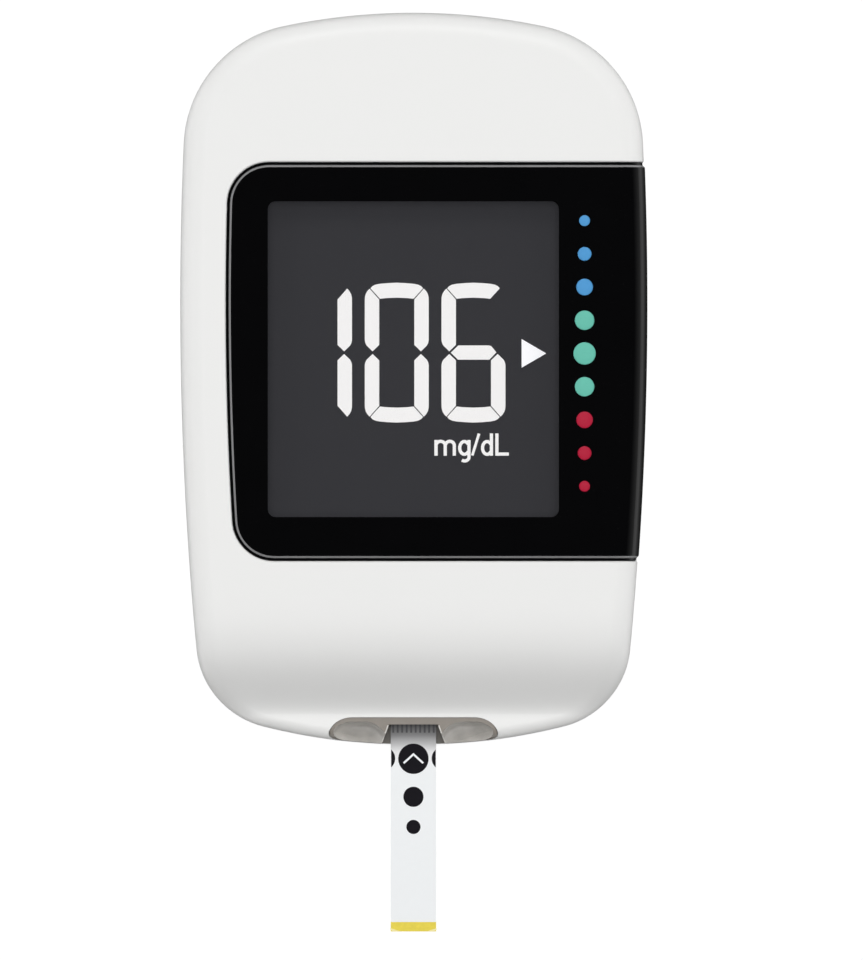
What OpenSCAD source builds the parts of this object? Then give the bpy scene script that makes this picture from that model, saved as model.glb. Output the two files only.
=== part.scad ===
// Blood glucose meter with a test strip in its port.
// +X is to the right of the display, +Y runs up the case, +Z comes out of the display.
// The origin is the centre of the flat back, on which the meter lies.

/* [Case] */
// Length of the case
case_l = 77.2; // [74:0.2:84]
// Width of the white case
case_w = 49.1; // [48:0.1:54]
// Height of the front face over the back
front_z = 15; // [14.6:0.1:17]
// Height of the lip at the strip end
lip_z = 9.4; // [9.2:0.1:10.4]
// Height of the seam between the case halves
seam_z = 6; // [5.8:0.1:6.2]
// Wall of both case halves
wall = 1.5; // [1.3:0.1:1.7]
// Radius of the rounded front edge
edge_r = 2.4; // [2:0.1:2.8]
// Radius of that edge across the strip end
lip_edge_r = 1.3; // [1:0.1:2]
// How far the back curves in to its flat face
back_in = 3.4; // [2.6:0.1:4]
// Radius of the long arc of each side, seen from the front
side_r = 390; // [360:10:600]
// Height along the case at which it is widest
side_y = 8; // [4:1:14]
// Radius of the arc across the top end
top_r = 67; // [56:1:75]
// Radius of the two corners at the top end
top_corner_r = 13.2; // [11:0.1:15]
// Radius of the arc across the strip end
bottom_r = 65; // [60:1:80]
// Radius of the two corners at the strip end
bottom_corner_r = 9.2; // [7.6:0.2:10]

/* [Window] */
// White length above the black window
window_above = 15.8; // [14.5:0.1:17]
// Length of the chin below the window
window_below = 19.5; // [19.1:0.1:20.5]
// White margin to the left of the window
window_margin = 4.85; // [4:0.05:5]
// Radius of the window's two left corners
window_corner_r = 4.4; // [3.4:0.2:4.8]
// Thickness of the window
window_t = 1; // [0.9:0.1:1.2]
// How far the window stands out of the case
window_proud = 0.1; // [0.05:0.05:0.3]
// Width of the window's bevelled rim
window_bevel = 0.3; // [0.15:0.05:0.4]
// Lower edge of the black band on the right side
band_z = 6.9; // [6.8:0.1:7.2]

/* [Display] */
// Margin from the case's sides to the clear pane
pane_beside = 9.25; // [8.95:0.05:10.5]
// Black margin above the pane
pane_above = 4.1; // [3.8:0.05:5.8]
// Black margin below the pane
pane_below = 4.6; // [4.2:0.05:6.2]
// Thickness of the display cell
lcd_t = 1; // [0.8:0.1:1.2]
// Thickness of the light guide
guide_t = 1.4; // [1.2:0.1:1.6]
// Distance between the range dots
dot_pitch = 3.49; // [3.3:0.01:3.6]
// Distance of the range dots from the case's right side
dot_side = 6.55; // [6.1:0.05:6.7]
// Diameter of the largest range dot
dot_d = 2.35; // [2:0.05:2.5]
// How much smaller each next dot is
dot_step = 0.3; // [0.2:0.02:0.34]

/* [Buttons] */
// Length of each side button
button_l = 13; // [11:0.5:14]
// Height of each side button
button_h = 3.6; // [3:0.2:4]
// Height of the buttons' middle over the back
button_z = 9.5; // [9.3:0.1:9.7]
// Distance between the middles of the two buttons
button_pitch = 16; // [15.5:0.25:17]
// Travel of a button
button_travel = 0.4; // [0.2:0.05:0.5]

/* [Ejector] */
// Length of the thumb piece
thumb_l = 8; // [7:0.5:9]
// Height of the thumb piece
thumb_h = 3.4; // [3:0.2:3.8]
// Middle of the thumb piece, up the case from its middle
thumb_y = -4.5; // [-5:0.25:-3]
// Travel of the ejector
eject_travel = 7; // [5:0.5:7]

/* [Strip and port] */
// Width of the test strip
strip_w = 4.8; // [4.6:0.02:5.2]
// Thickness of the test strip
strip_t = 0.55; // [0.45:0.05:0.6]
// Length of the strip outside the case
strip_out = 19.7; // [16:0.1:26]
// Length of the strip inside the case
strip_in = 11.5; // [11:0.1:12]
// Half the width of the oval port
port_w2 = 8.9; // [8:0.05:9.6]
// Half the height of the oval port, square to its axis
port_h2 = 2.25; // [2.2:0.05:2.5]
// How far the oval's two ends lie above its middle
port_rise = 1.05; // [0.6:0.05:1.3]
// Angle between the port's axis and the table
port_tilt = 40; // [36:1:44]

/* [Battery compartment] */
// Diameter of a coin cell
cell_d = 20; // [19:0.5:20]
// Thickness of a coin cell
cell_t = 3.2; // [2.6:0.1:3.3]
// Thickness of the battery door
door_t = 1.3; // [1.2:0.1:1.4]
// Length of the battery door
door_l = 46; // [45.5:0.25:48]
// Middle of the battery door, up the case from its middle
door_y = 4; // [3:0.25:4.5]

/* [Board] */
// Thickness of the main board
board_t = 0.8; // [0.8:0.1:1]
// Margin between the case's outline and the board
board_margin = 3.2; // [2.9:0.1:3.4]

/* [Hidden] */
$fn = 48;
tiny = 0.05;          // gap between pieces that are fixed to each other
slide_gap = 0.15;     // gap round a piece that slides
over = 1;             // how far a cut runs past a surface
round_step = 15;      // degrees between the facets of a rounded edge

window_top = case_l / 2 - window_above;
window_bottom = window_below - case_l / 2;
pane_w = case_w - 2 * pane_beside;
pane_l = window_top - window_bottom - pane_above - pane_below;
pane_y = window_top - pane_above - pane_l / 2;
dot_x = case_w / 2 - dot_side;

// Heights, from the back to the front
pad_t = 0.2;
cell_z = door_t + pad_t + tiny;
spring_gap = 0.4;
ceiling_z = cell_z + cell_t + spring_gap;
ceiling_t = 0.7;
board_z = ceiling_z + ceiling_t + 0.4;
board_top = board_z + board_t;
strip_z = board_top + slide_gap;
strip_top = strip_z + strip_t;
window_z = front_z + window_proud - window_t;
shelf_t = 1.35;
shelf_reach = 1.5;     // how far the shelf reaches past the window's edges
shelf_z = window_z - tiny - shelf_t;
film_t = 0.15;
lcd_z = shelf_z - tiny - film_t - lcd_t;
guide_z = lcd_z - 0.1 - guide_t;
frame_z = guide_z - 0.6;

// The outline of the case: five arcs on each side, each meeting the next tangentially.
side_c = [case_w / 2 - side_r, side_y];
top_c = [0, case_l / 2 - top_r];
bottom_c = [0, bottom_r - case_l / 2];

// The point at r1 from c1 and r2 from c2, to the left of the line between them (side 1) or its right (-1)
function meet(c1, r1, c2, r2, side) =
    let (d = norm(c2 - c1), u = (c2 - c1) / d, a = (r1 * r1 - r2 * r2 + d * d) / (2 * d))
    c1 + a * u + side * sqrt(r1 * r1 - a * a) * [-u.y, u.x];
function heading(from, to) = atan2(to.y - from.y, to.x - from.x);

top_corner_c = meet(side_c, side_r - top_corner_r, top_c, top_r - top_corner_r, 1);
bottom_corner_c = meet(side_c, side_r - bottom_corner_r, bottom_c, bottom_r - bottom_corner_r, -1);
// The front face runs level, then down to the lip in an S-curve that is steepest near its end.
chin_top = window_bottom - 0.4;
chin_end = 3 - case_l / 2;
function chin(y) = let (t = max(0, min(1, (chin_top - y) / (chin_top - chin_end))), q = pow(t, 2.5))
    q * q * (3 - 2 * q);
function front(y) = front_z - (front_z - lip_z) * chin(y);

// Centre, radius, first heading, last heading and number of steps of each arc of the right half
chin_turn = asin((chin_top - side_y) / side_r);
arcs = [
    [bottom_c, bottom_r, -90, heading(bottom_c, bottom_corner_c), 4],
    [bottom_corner_c, bottom_corner_r, heading(bottom_c, bottom_corner_c),
        heading(side_c, bottom_corner_c), 9],
    [side_c, side_r, heading(side_c, bottom_corner_c), chin_turn, 7],
    [side_c, side_r, chin_turn, heading(side_c, top_corner_c), 11],
    [top_corner_c, top_corner_r, heading(side_c, top_corner_c), heading(top_c, top_corner_c), 8],
    [top_c, top_r, heading(top_c, top_corner_c), 90, 4]
];
// Each point of the right half, as its arc's centre and radius and its own heading
half = concat(
    [for (a = arcs) for (i = [0:a[4] - 1]) [a[0], a[1], a[2] + (a[3] - a[2]) * i / a[4]]],
    [[top_c, top_r, 90]]
);
last = len(half) - 1;
function rim(inset, k) = half[k][0] + (half[k][1] - inset) * [cos(half[k][2]), sin(half[k][2])];
// The outline moved inwards by inset, anticlockwise from the strip end
function outline(inset) = concat(
    [for (k = [0:last]) k == 0 || k == last ? [0, rim(inset, k).y] : rim(inset, k)],
    [for (k = [last - 1:-1:1]) [-rim(inset, k).x, rim(inset, k).y]]
);
function side_x(y) = side_c.x + sqrt(side_r * side_r - pow(y - side_y, 2));

// A closed solid through rings of the outline, from the lowest to the highest
ring_n = 2 * last;
function left_of(k) = k == 0 || k == last ? k : ring_n - k;
module loft(rings) {
    n = ring_n;
    top = (len(rings) - 1) * n;
    sides = [for (j = [0:len(rings) - 2]) for (i = [0:n - 1]) let (e = (i + 1) % n, b = j * n)
        each [[b + i, b + n + i, b + n + e], [b + i, b + n + e, b + e]]];
    lids = [for (k = [0:last - 1]) let (l0 = left_of(k), l1 = left_of(k + 1)) each [
        [top + l0, top + l1, top + k + 1], [l1, l0, k + 1],
        if (k > 0) [top + l0, top + k + 1, top + k], if (k > 0) [l0, k, k + 1]]];
    // the row at the top end closes in one point, so its second triangle has no area
    faces = [for (f = concat(sides, lids)) if (f[0] != f[1] && f[1] != f[2] && f[0] != f[2]) f];
    polyhedron(points = [for (r = rings) each r], faces = faces);
}

// Radius of the front edge at a point of the outline: tighter across the strip end
function edge_at(k) = let (t = max(0, min(1, (k - arcs[0][4]) / arcs[1][4])))
    lip_edge_r + (edge_r - lip_edge_r) * t * t * (3 - 2 * t);
// The ring at angle a of the rounded edge, grown by g on every side
function front_ring(g, a) = [for (i = [0:ring_n - 1]) let (
        k = i <= last ? i : ring_n - i,
        r = max(edge_at(k) + g, 0.1),
        p = rim(r * (1 - cos(a)) - g, k),
        x = k == 0 || k == last ? 0 : i < last ? p.x : -p.x
    ) [x, p.y, front(p.y) + g - r * (1 - sin(a))]];
// The front half of the case's form, grown by g on every side, from height z0 up
module front_form(g, z0) {
    loft(concat(
        [[for (p = outline(-g)) [p.x, p.y, z0]]],
        [for (a = [0:round_step:90]) front_ring(g, a)]
    ));
}

// The rear half: a quarter ellipse from the flat back up to the seam, and straight on to z1
module back_form(g, floor_z, z1) {
    loft(concat(
        [for (a = [0:round_step:90]) [for (p = outline(back_in * (1 - sin(a)) - g))
            [p.x, p.y, floor_z + (seam_z - floor_z) * (1 - cos(a))]]],
        z1 > seam_z ? [[for (p = outline(-g)) [p.x, p.y, z1]]] : []
    ));
}

// The outline as a flat ring between two insets
module outline_ring(z0, z1, outer, inner) {
    translate([0, 0, z0]) linear_extrude(z1 - z0) difference() {
        polygon(outline(outer));
        polygon(outline(inner));
    }
}
module block(lo, hi) {
    translate(lo) cube(hi - lo);
}
module rounded_plate(w, l, r, z0, z1) {
    ax = w / 2 - r;
    ay = l / 2 - r;
    translate([0, 0, z0]) linear_extrude(z1 - z0)
        polygon([for (c = [[ax, ay, 0], [-ax, ay, 90], [-ax, -ay, 180], [ax, -ay, 270]])
            for (a = [0:round_step:90]) [c.x + r * cos(c.z + a), c.y + r * sin(c.z + a)]]);
}

// The window, unrolled: rows run up the case, and columns from its left edge over the rounded
// edge to the foot of the side band. g moves its outline out, and w is the height over the case.
corner_low = [0, window_bottom + window_corner_r];
corner_high = [0, window_top - window_corner_r];
left_r = side_r - window_margin;
function left_corner_x(c) = -side_c.x - sqrt(pow(left_r - window_corner_r, 2) - pow(c.y - side_y, 2));
low_c = [left_corner_x(corner_low), corner_low.y];
high_c = [left_corner_x(corner_high), corner_high.y];
left_c = [-side_c.x, side_y];
low_turn = heading(low_c, left_c) + 180;
high_turn = heading(high_c, left_c) + 180;
corner_steps = 6;
left_steps = 8;
// The left edge, from the bottom up: a point and the way out of the window there
window_edge = concat(
    [for (i = [0:corner_steps]) let (a = 270 + (low_turn - 270) * i / corner_steps)
        [low_c, window_corner_r, a]],
    [for (i = [1:left_steps - 1]) [left_c, left_r, low_turn + (high_turn - low_turn) * i / left_steps]],
    [for (i = [0:corner_steps]) let (a = high_turn + (90 - high_turn) * i / corner_steps)
        [high_c, window_corner_r, a]]
);
function edge_point(i, g) = let (e = window_edge[i]) e[0] + (e[1] + g) * [cos(e[2]), sin(e[2])];
turns = [0:round_step:90];
turn_n = len([for (a = turns) a]);
window_cols = turn_n + 2;
function window_point(i, j, g, w) =
    let (p = edge_point(i, g), x = side_x(p.y), a = (j - 1) * round_step)
    j == 0 ? [p.x, p.y, front_z + w]
    : j <= turn_n ? [x - edge_r + (edge_r + w) * sin(a), p.y, front_z - edge_r + (edge_r + w) * cos(a)]
    : [x + w, p.y, band_z - g];
// A closed solid from a grid of points on top and one below, each row by row
module quilt(rows, cols, top, bottom) {
    n = rows * cols;
    function at(i, j) = i * cols + j;
    quads = [for (i = [0:rows - 2]) for (j = [0:cols - 2])
        [at(i, j), at(i + 1, j), at(i + 1, j + 1), at(i, j + 1)]];
    border = concat(
        [for (j = [0:cols - 2]) at(0, j)], [for (i = [0:rows - 2]) at(i, cols - 1)],
        [for (j = [cols - 1:-1:1]) at(rows - 1, j)], [for (i = [rows - 1:-1:1]) at(i, 0)]
    );
    m = len(border);
    polyhedron(points = concat(top, bottom), faces = concat(
        [for (q = quads) each [[q[0], q[1], q[2]], [q[0], q[2], q[3]]]],
        [for (q = quads) each [[n + q[0], n + q[2], n + q[1]], [n + q[0], n + q[3], n + q[2]]]],
        [for (k = [0:m - 1]) let (a = border[k], b = border[(k + 1) % m])
            each [[a, b, n + b], [a, n + b, n + a]]]
    ));
}
module window_form(g_top, w_top, g_bottom, w_bottom) {
    rows = len(window_edge);
    quilt(rows, window_cols,
        [for (i = [0:rows - 1]) for (j = [0:window_cols - 1]) window_point(i, j, g_top, w_top)],
        [for (i = [0:rows - 1]) for (j = [0:window_cols - 1]) window_point(i, j, g_bottom, w_bottom)]);
}

// The oval port, whose axis rises towards the strip end: level on top, and its ends drawn up
port_c = [0, 1.35 - case_l / 2, strip_z + 0.55];
port_depth = 3.6;
port_end = 2.5;                       // length of each rounded end of the level top
port_step = 10;
port_rim = 0.45;                      // rim round its two dished faces
module port_prism(g, from, to) {
    top = port_h2 - port_rise;
    foot = port_h2 + port_rise;
    right = concat(
        [for (a = [-90:port_step:-port_step]) [(port_w2 + g) * cos(a), port_rise + (foot + g) * sin(a)]],
        [for (a = [0:port_step:90])
            [port_w2 - port_end + (port_end + g) * cos(a), port_rise + (top + g) * sin(a)]]
    );
    translate(port_c) rotate([90 - port_tilt, 0, 0]) translate([0, 0, from])
        linear_extrude(to - from)
            polygon(concat(right, [for (i = [len(right) - 1:-1:1]) [-right[i].x, right[i].y]]));
}
guide_y = 3.2 - case_l / 2;           // where the port piece ends and the contact block begins
roof_y = 2.2 - case_l / 2;            // edge of the port's roof, under which the strip goes in
strip_y0 = strip_in - case_l / 2;     // inner end of the strip
strip_y1 = -case_l / 2 - strip_out;   // outer end of the strip
block_y = strip_y0 + 0.2;             // inner end of the contact block
block_w2 = 4.8;                       // half its width
block_rise = 0.65;                    // how far it stands over the strip
block_drop = 1.3;                     // how far it reaches under the strip

// The two balls, rolled sideways, that shape the port's dished faces
dish_r = 2.6;
dish_xs = [5.2, port_w2 - 2.35];
dish_y = -0.37 - case_l / 2;
dish_z = strip_z + 2.39;

// Places of the posts that hold the board between the case halves
post_r = 1.6;
high_posts = [case_w / 2 - 7.95, case_l / 2 - 10];
low_posts = [case_w / 2 - 8.95, 14.5 - case_l / 2];

button_ys = [for (s = [1, -1]) (window_top + window_bottom) / 2 + s * button_pitch / 2];
switch_face = case_w / 2 - 3.45;
stem_r = 0.8;
stem_x = switch_face - 0.9;            // inner end of a switch's stem
stem_gap = 0.3;                       // left under it when its button is pressed
flange_t = 0.6;
flange_rim = 0.6;
// Where the case's inner face, less a small gap, lies furthest in behind a button
function flange_x(y) =
    min([for (s = [-1, 1]) side_x(y + s * (button_l / 2 + flange_rim))]) - wall - tiny;

module button_prism(y, g, x0, x1) {
    r = button_h / 2 + g;
    translate([x0, y, button_z]) rotate([90, 0, 90]) linear_extrude(x1 - x0) union() {
        square([button_l - button_h, 2 * r], center = true);
        for (s = [-1, 1]) translate([s * (button_l - button_h) / 2, 0]) circle(r);
    }
}

thumb_z = button_z - 0.2;
thumb_pocket = 0.85;                  // depth of the pocket that the thumb piece slides in
thumb_stem = [3, 1.4];                // length and height of its stem
rail_x = [3.85 - case_w / 2, 5.25 - case_w / 2];
bar_y = block_y + eject_travel + 0.2; // front of the ejector's crossbar at rest
bar_l = 1.8;
bar_top = strip_z + 0.7;

lcd_w = pane_w + 3.2;
lcd_l = pane_l + 2.85;
frame_w = 0.8;
flange_w = 1.2;                       // how far the pane's foot reaches under the window
zebra_x = lcd_w / 2 - 2.5;
zebra_y = pane_y - lcd_l / 2 + 0.5;
zebra_l = 1.8;

room_w = cell_d + 1.2;
room_l = 2 * cell_d + 2.6;
room_wall = 1.2;
// Screws between the two coin cells
screw_r = 0.8;
screw_head_r = 1.6;
screw_x = room_w / 2 - screw_head_r - 0.4;
hinge_r = 0.85;
hinge_y = door_y + door_l / 2 - hinge_r;
pin_r = 0.5;
pin_l = 1;
door_w = room_w + 2;
pin_end = door_w / 2 + pin_l;
door_low = door_y - door_l / 2;
tab_w2 = 3;                           // half the width of the door's snap tab
tab_h = 3.4;                          // how far the tab reaches into the case
grip_w2 = 5;                          // half the width of the grooves between the grip ridges
grip_r = 0.6;
grip_step = 1.3;
notch_r = 3;                          // radius and middle of the fingernail notch beside it
notch_z = -2.1;
minus_y = 9;                          // distance of the two minus contacts from the door's middle
minus_w2 = [4, 2.5];                  // half the width and the length of such a contact
leg_w2 = 1.5;                         // half the width of the contacts' legs
slot_w2 = 1.6;                        // half the width of the slots for the battery contacts

// Micro USB socket
usb_w2 = 3.75;                        // half its width
usb_h = 2.6;
usb_l = 6;
usb_sheet = 0.3;                      // thickness of its shell
usb_inset = 0.9;                      // how far its mouth lies behind the case's end
usb_mouth = [4.2, 3];                 // half the width, and the height, of the case's opening

rim_h = 0.8;                          // height over the seam of the rim that centres the shells

// The battery door's outline, with two rounded corners at its snap end, grown by g on three sides
door_corner_r = 2.5;
module door_form(g, z0, z1) {
    low = door_low + door_corner_r;
    x = door_w / 2 - door_corner_r;
    r = door_corner_r + g;
    translate([0, 0, z0]) linear_extrude(z1 - z0) polygon(concat(
        [for (a = [180:round_step:270]) [-x + r * cos(a), low + r * sin(a)]],
        [for (a = [270:round_step:360]) [x + r * cos(a), low + r * sin(a)]],
        [[door_w / 2 + g, hinge_y], [-door_w / 2 - g, hinge_y]]
    ));
}

module posts(places, z0, z1) {
    for (p = places) translate([p.x, p.y, z0]) cylinder(h = z1 - z0, r = post_r);
}

module front_shell() {
    color([0.93, 0.93, 0.92]) difference() {
        union() {
            difference() {
                front_form(0, seam_z);
                front_form(-wall, seam_z - over);
            }
            // shelf on which the window and the pane's foot lie
            intersection() {
                front_form(-wall / 2, seam_z);
                block([window_margin - case_w / 2 - shelf_reach, window_bottom - shelf_reach, shelf_z],
                    [side_x(side_y) - wall / 2, window_top + shelf_reach, shelf_z + shelf_t]);
            }
            posts([[high_posts.x, high_posts.y], [-high_posts.x, high_posts.y],
                [low_posts.x, low_posts.y]], board_top, front_z - wall / 2);
        }
        // seat of the window
        window_form(tiny, over, tiny, window_proud - window_t - tiny);
        // opening round the display
        translate([0, pane_y, 0])
            rounded_plate(pane_w + 2 * flange_w + 0.3, pane_l + 2 * flange_w + 0.3, 1,
                shelf_z - over, front_z);
        // rebate for the rear shell's rim
        outline_ring(seam_z - over, seam_z + rim_h + 0.1, wall / 2, wall + over);
        port_prism(tiny, -port_depth, 4);
        // room over the contact block
        block([-block_w2 - slide_gap, guide_y - slide_gap, seam_z],
            [block_w2 + slide_gap, guide_y + 2, strip_top + block_rise + slide_gap]);
        // socket at the top end
        block([-usb_mouth.x, case_l / 2 - wall - over, board_top - 0.2],
            [usb_mouth.x, case_l / 2 + over, board_top + usb_mouth.y]);
        for (y = button_ys) button_prism(y, slide_gap, side_x(y) - wall - over, side_x(y) + over);
        // pocket and slot of the ejector's thumb piece
        block([-case_w / 2 - over, thumb_y - eject_travel - thumb_l / 2 - slide_gap,
                thumb_z - thumb_h / 2 - slide_gap],
            [-side_x(thumb_y) + thumb_pocket, thumb_y + thumb_l / 2 + slide_gap,
                thumb_z + thumb_h / 2 + slide_gap]);
        block([-case_w / 2 - over, thumb_y - eject_travel - thumb_stem.x / 2 - slide_gap,
                thumb_z - thumb_stem.y / 2 - slide_gap],
            [-side_x(thumb_y) + wall + over, thumb_y + thumb_stem.x / 2 + slide_gap,
                thumb_z + thumb_stem.y / 2 + slide_gap]);
    }
}

module rear_shell() {
    color([0.9, 0.9, 0.89]) difference() {
        union() {
            difference() {
                back_form(0, 0, seam_z);
                back_form(-wall, door_t, seam_z + over);
            }
            // rim that centres the front shell
            outline_ring(seam_z - over, seam_z + rim_h, wall / 2 + 0.1, wall + 0.1);
            // battery compartment
            block([-room_w / 2 - room_wall, door_y - room_l / 2 - room_wall, door_t / 2],
                [room_w / 2 + room_wall, door_y + room_l / 2 + room_wall, ceiling_z + ceiling_t]);
            // floor round the hinge pins
            for (s = [-1, 1]) translate([s * (pin_end - 0.1), hinge_y, door_t])
                cube([2.6, 3, 2.4], center = true);
            posts([for (p = [high_posts, low_posts]) for (s = [-1, 1]) [s * p.x, p.y]],
                door_t / 2, board_z);
            // saddle under the contact block
            block([-3.4, guide_y + 2, door_t / 2], [3.4, block_y - 2, strip_z - block_drop]);
        }
        // opening of the battery door, and the cells' room behind it
        door_form(slide_gap, -over, door_t + tiny);
        block([-room_w / 2, door_y - room_l / 2, -over],
            [room_w / 2, door_y + room_l / 2, ceiling_z]);
        // rounded seat of the hinge
        translate([-door_w / 2 - slide_gap, hinge_y, hinge_r]) rotate([0, 90, 0])
            cylinder(h = door_w + 2 * slide_gap, r = hinge_r + slide_gap);
        block([-door_w / 2 - slide_gap, hinge_y - hinge_r, -over],
            [door_w / 2 + slide_gap, hinge_y + hinge_r + slide_gap, hinge_r]);
        translate([-pin_end - 0.2, hinge_y, hinge_r]) rotate([0, 90, 0])
            cylinder(h = 2 * pin_end + 0.4, r = pin_r + tiny);
        // room for the door's snap tab, and the fingernail notch beside it
        block([-tab_w2 - 1.2, door_low - 0.25, door_t], [tab_w2 + 1.2, door_y - room_l / 2 - 0.1, 3.9]);
        translate([0, door_low, notch_z]) rotate([90, 0, 0]) cylinder(h = 2.2, r = notch_r);
        // screw heads and shanks
        for (s = [-1, 1]) translate([s * screw_x, door_y, ceiling_z - over])
            cylinder(h = 3, r = screw_r + 0.15);
        // slots through which the battery contacts reach the board
        for (s = [-1, 1]) {
            block([-slot_w2, door_y + s * minus_y - 0.6, ceiling_z - over],
                [slot_w2, door_y + s * minus_y + 0.6, seam_z + 2]);
            block([room_w / 2 - 0.7, door_y + s * cell_d / 2 - slot_w2, ceiling_z - over],
                [room_w / 2 - 0.05, door_y + s * cell_d / 2 + 2.2, seam_z + 2]);
        }
        port_prism(tiny, -port_depth, 4);
        block([-port_w2 - 0.6, -case_l / 2 - over, seam_z], [port_w2 + 0.6, guide_y, seam_z + 2]);
    }
}

module display_window() {
    color([0.03, 0.03, 0.03]) difference() {
        union() {
            window_form(0, window_proud - window_bevel, 0, window_proud - window_t);
            window_form(-window_bevel, window_proud, 0, window_proud - window_bevel);
        }
        translate([0, pane_y, 0]) rounded_plate(pane_w, pane_l, 0.85, window_z - over, front_z + over);
        for (y = button_ys) button_prism(y, slide_gap, side_x(y) - wall - over, side_x(y) + over);
        dots(tiny / 2, front_z + window_proud - dot_depth - tiny / 2, front_z + over);
    }
}

module display_lens() {
    color([0.3, 0.3, 0.32]) translate([0, pane_y, 0]) union() {
        rounded_plate(pane_w - 0.06, pane_l - 0.06, 0.82, window_z - tiny, front_z + window_proud - 0.03);
        rounded_plate(pane_w + 2 * flange_w, pane_l + 2 * flange_w, 0.85, window_z - 0.5, window_z - tiny);
    }
}

module window_tape() {
    z = front_z + window_proud - window_t - tiny;
    color([0.15, 0.15, 0.15]) difference() {
        translate([-0.4, pane_y, 0]) rounded_plate(pane_w + 5.6, pane_l + 5.2, 1, z, z + tiny);
        translate([0, pane_y, 0])
            rounded_plate(pane_w + 2 * flange_w + 0.4, pane_l + 2 * flange_w + 0.4, 1, z - over, z + over);
    }
}

dot_n = 9;
dot_depth = 0.3;
module dots(g, z0, z1) {
    for (i = [0:dot_n - 1]) let (s = i - (dot_n - 1) / 2)
        translate([dot_x, pane_y + 0.6 + s * dot_pitch, z0])
            cylinder(h = z1 - z0, r = (dot_d - dot_step * abs(s)) / 2 + g);
}
module range_dots() {
    color([0.3, 0.7, 0.6])
        dots(0, front_z + window_proud - dot_depth, front_z + window_proud);
}

module strip_port() {
    color([0.62, 0.6, 0.56]) difference() {
        intersection() {
            port_prism(-tiny, -port_depth, 4);
            front_form(-0.1, seam_z - 4);
            block([-port_w2 - 1, -case_l / 2 - over, seam_z - 3], [port_w2 + 1, guide_y - tiny, front_z]);
        }
        // two dished faces beside the strip, inside the oval's rim
        intersection() {
            port_prism(-port_rim, -port_depth, 5);
            for (s = [-1, 1]) hull() for (x = dish_xs)
                translate([s * x, dish_y, dish_z]) sphere(dish_r, $fn = 40);
        }
        // tunnel, and the flared channel in front of the roof
        block([-strip_w / 2 - slide_gap, -case_l / 2 - over, strip_z - 0.1],
            [strip_w / 2 + slide_gap, guide_y + over, strip_top + 0.1]);
        translate([0, 0, strip_z - 0.1]) linear_extrude(front_z)
            polygon([[-strip_w / 2 - 0.2, roof_y], [-strip_w / 2 - 1.1, -case_l / 2 - 0.3],
                [strip_w / 2 + 1.1, -case_l / 2 - 0.3], [strip_w / 2 + 0.2, roof_y]]);
    }
}

module display_gasket() {
    color([0.1, 0.1, 0.1]) translate([0, pane_y, 0]) difference() {
        rounded_plate(pane_w + 2, pane_l + 2, 1, shelf_z, window_z - 0.5 - tiny);
        rounded_plate(pane_w + 0.6, pane_l + 0.6, 0.9, shelf_z - over, window_z);
    }
}

module lcd_plate(w, l, z0, z1) {
    translate([0, pane_y, 0]) block([-w / 2, -l / 2, z0], [w / 2, l / 2, z1]);
}
module front_polariser() {
    color([0.2, 0.2, 0.21]) lcd_plate(lcd_w - 1.2, lcd_l - 1.2, lcd_z + lcd_t, lcd_z + lcd_t + film_t);
}
module lcd_panel() {
    color([0.35, 0.4, 0.4]) lcd_plate(lcd_w, lcd_l, lcd_z, lcd_z + lcd_t);
}
module light_guide() {
    color([0.85, 0.9, 0.9]) difference() {
        lcd_plate(lcd_w, lcd_l, guide_z, guide_z + guide_t);
        block([-lcd_w, zebra_y - 2, guide_z - over], [lcd_w, zebra_y + zebra_l + 0.3, lcd_z]);
    }
}
module lcd_frame() {
    color([0.95, 0.95, 0.95]) difference() {
        union() {
            lcd_plate(lcd_w + 2 * frame_w, lcd_l + 2 * frame_w, frame_z, lcd_z + lcd_t);
            for (s = [-1, 1]) translate([s * screw_x, door_y, board_top])
                cylinder(h = frame_z - board_top + tiny, r = 1.9);
        }
        lcd_plate(lcd_w + 0.1, lcd_l + 0.1, guide_z - tiny, front_z);
        block([-zebra_x - 0.2, zebra_y - 0.2, frame_z - over],
            [zebra_x + 0.2, zebra_y + zebra_l + 0.2, lcd_z]);
        for (s = [-1, 1]) translate([s * screw_x, door_y, board_top - over])
            cylinder(h = over + 1.9, r = screw_r + tiny / 2);
    }
}
module zebra_connector() {
    color([0.9, 0.5, 0.55])
        block([-zebra_x, zebra_y, board_top], [zebra_x, zebra_y + zebra_l, lcd_z - tiny]);
}

module main_board() {
    color([0.1, 0.4, 0.22]) difference() {
        translate([0, 0, board_z]) linear_extrude(board_t) polygon(outline(board_margin));
        // the board ends where the contact block begins
        block([-case_w, -case_l, board_z - over], [case_w, block_y + 0.4, board_top + over]);
        for (s = [-1, 1]) translate([s * screw_x, door_y, board_z - over])
            cylinder(h = board_t + 2 * over, r = screw_r + 0.15);
    }
}
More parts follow.
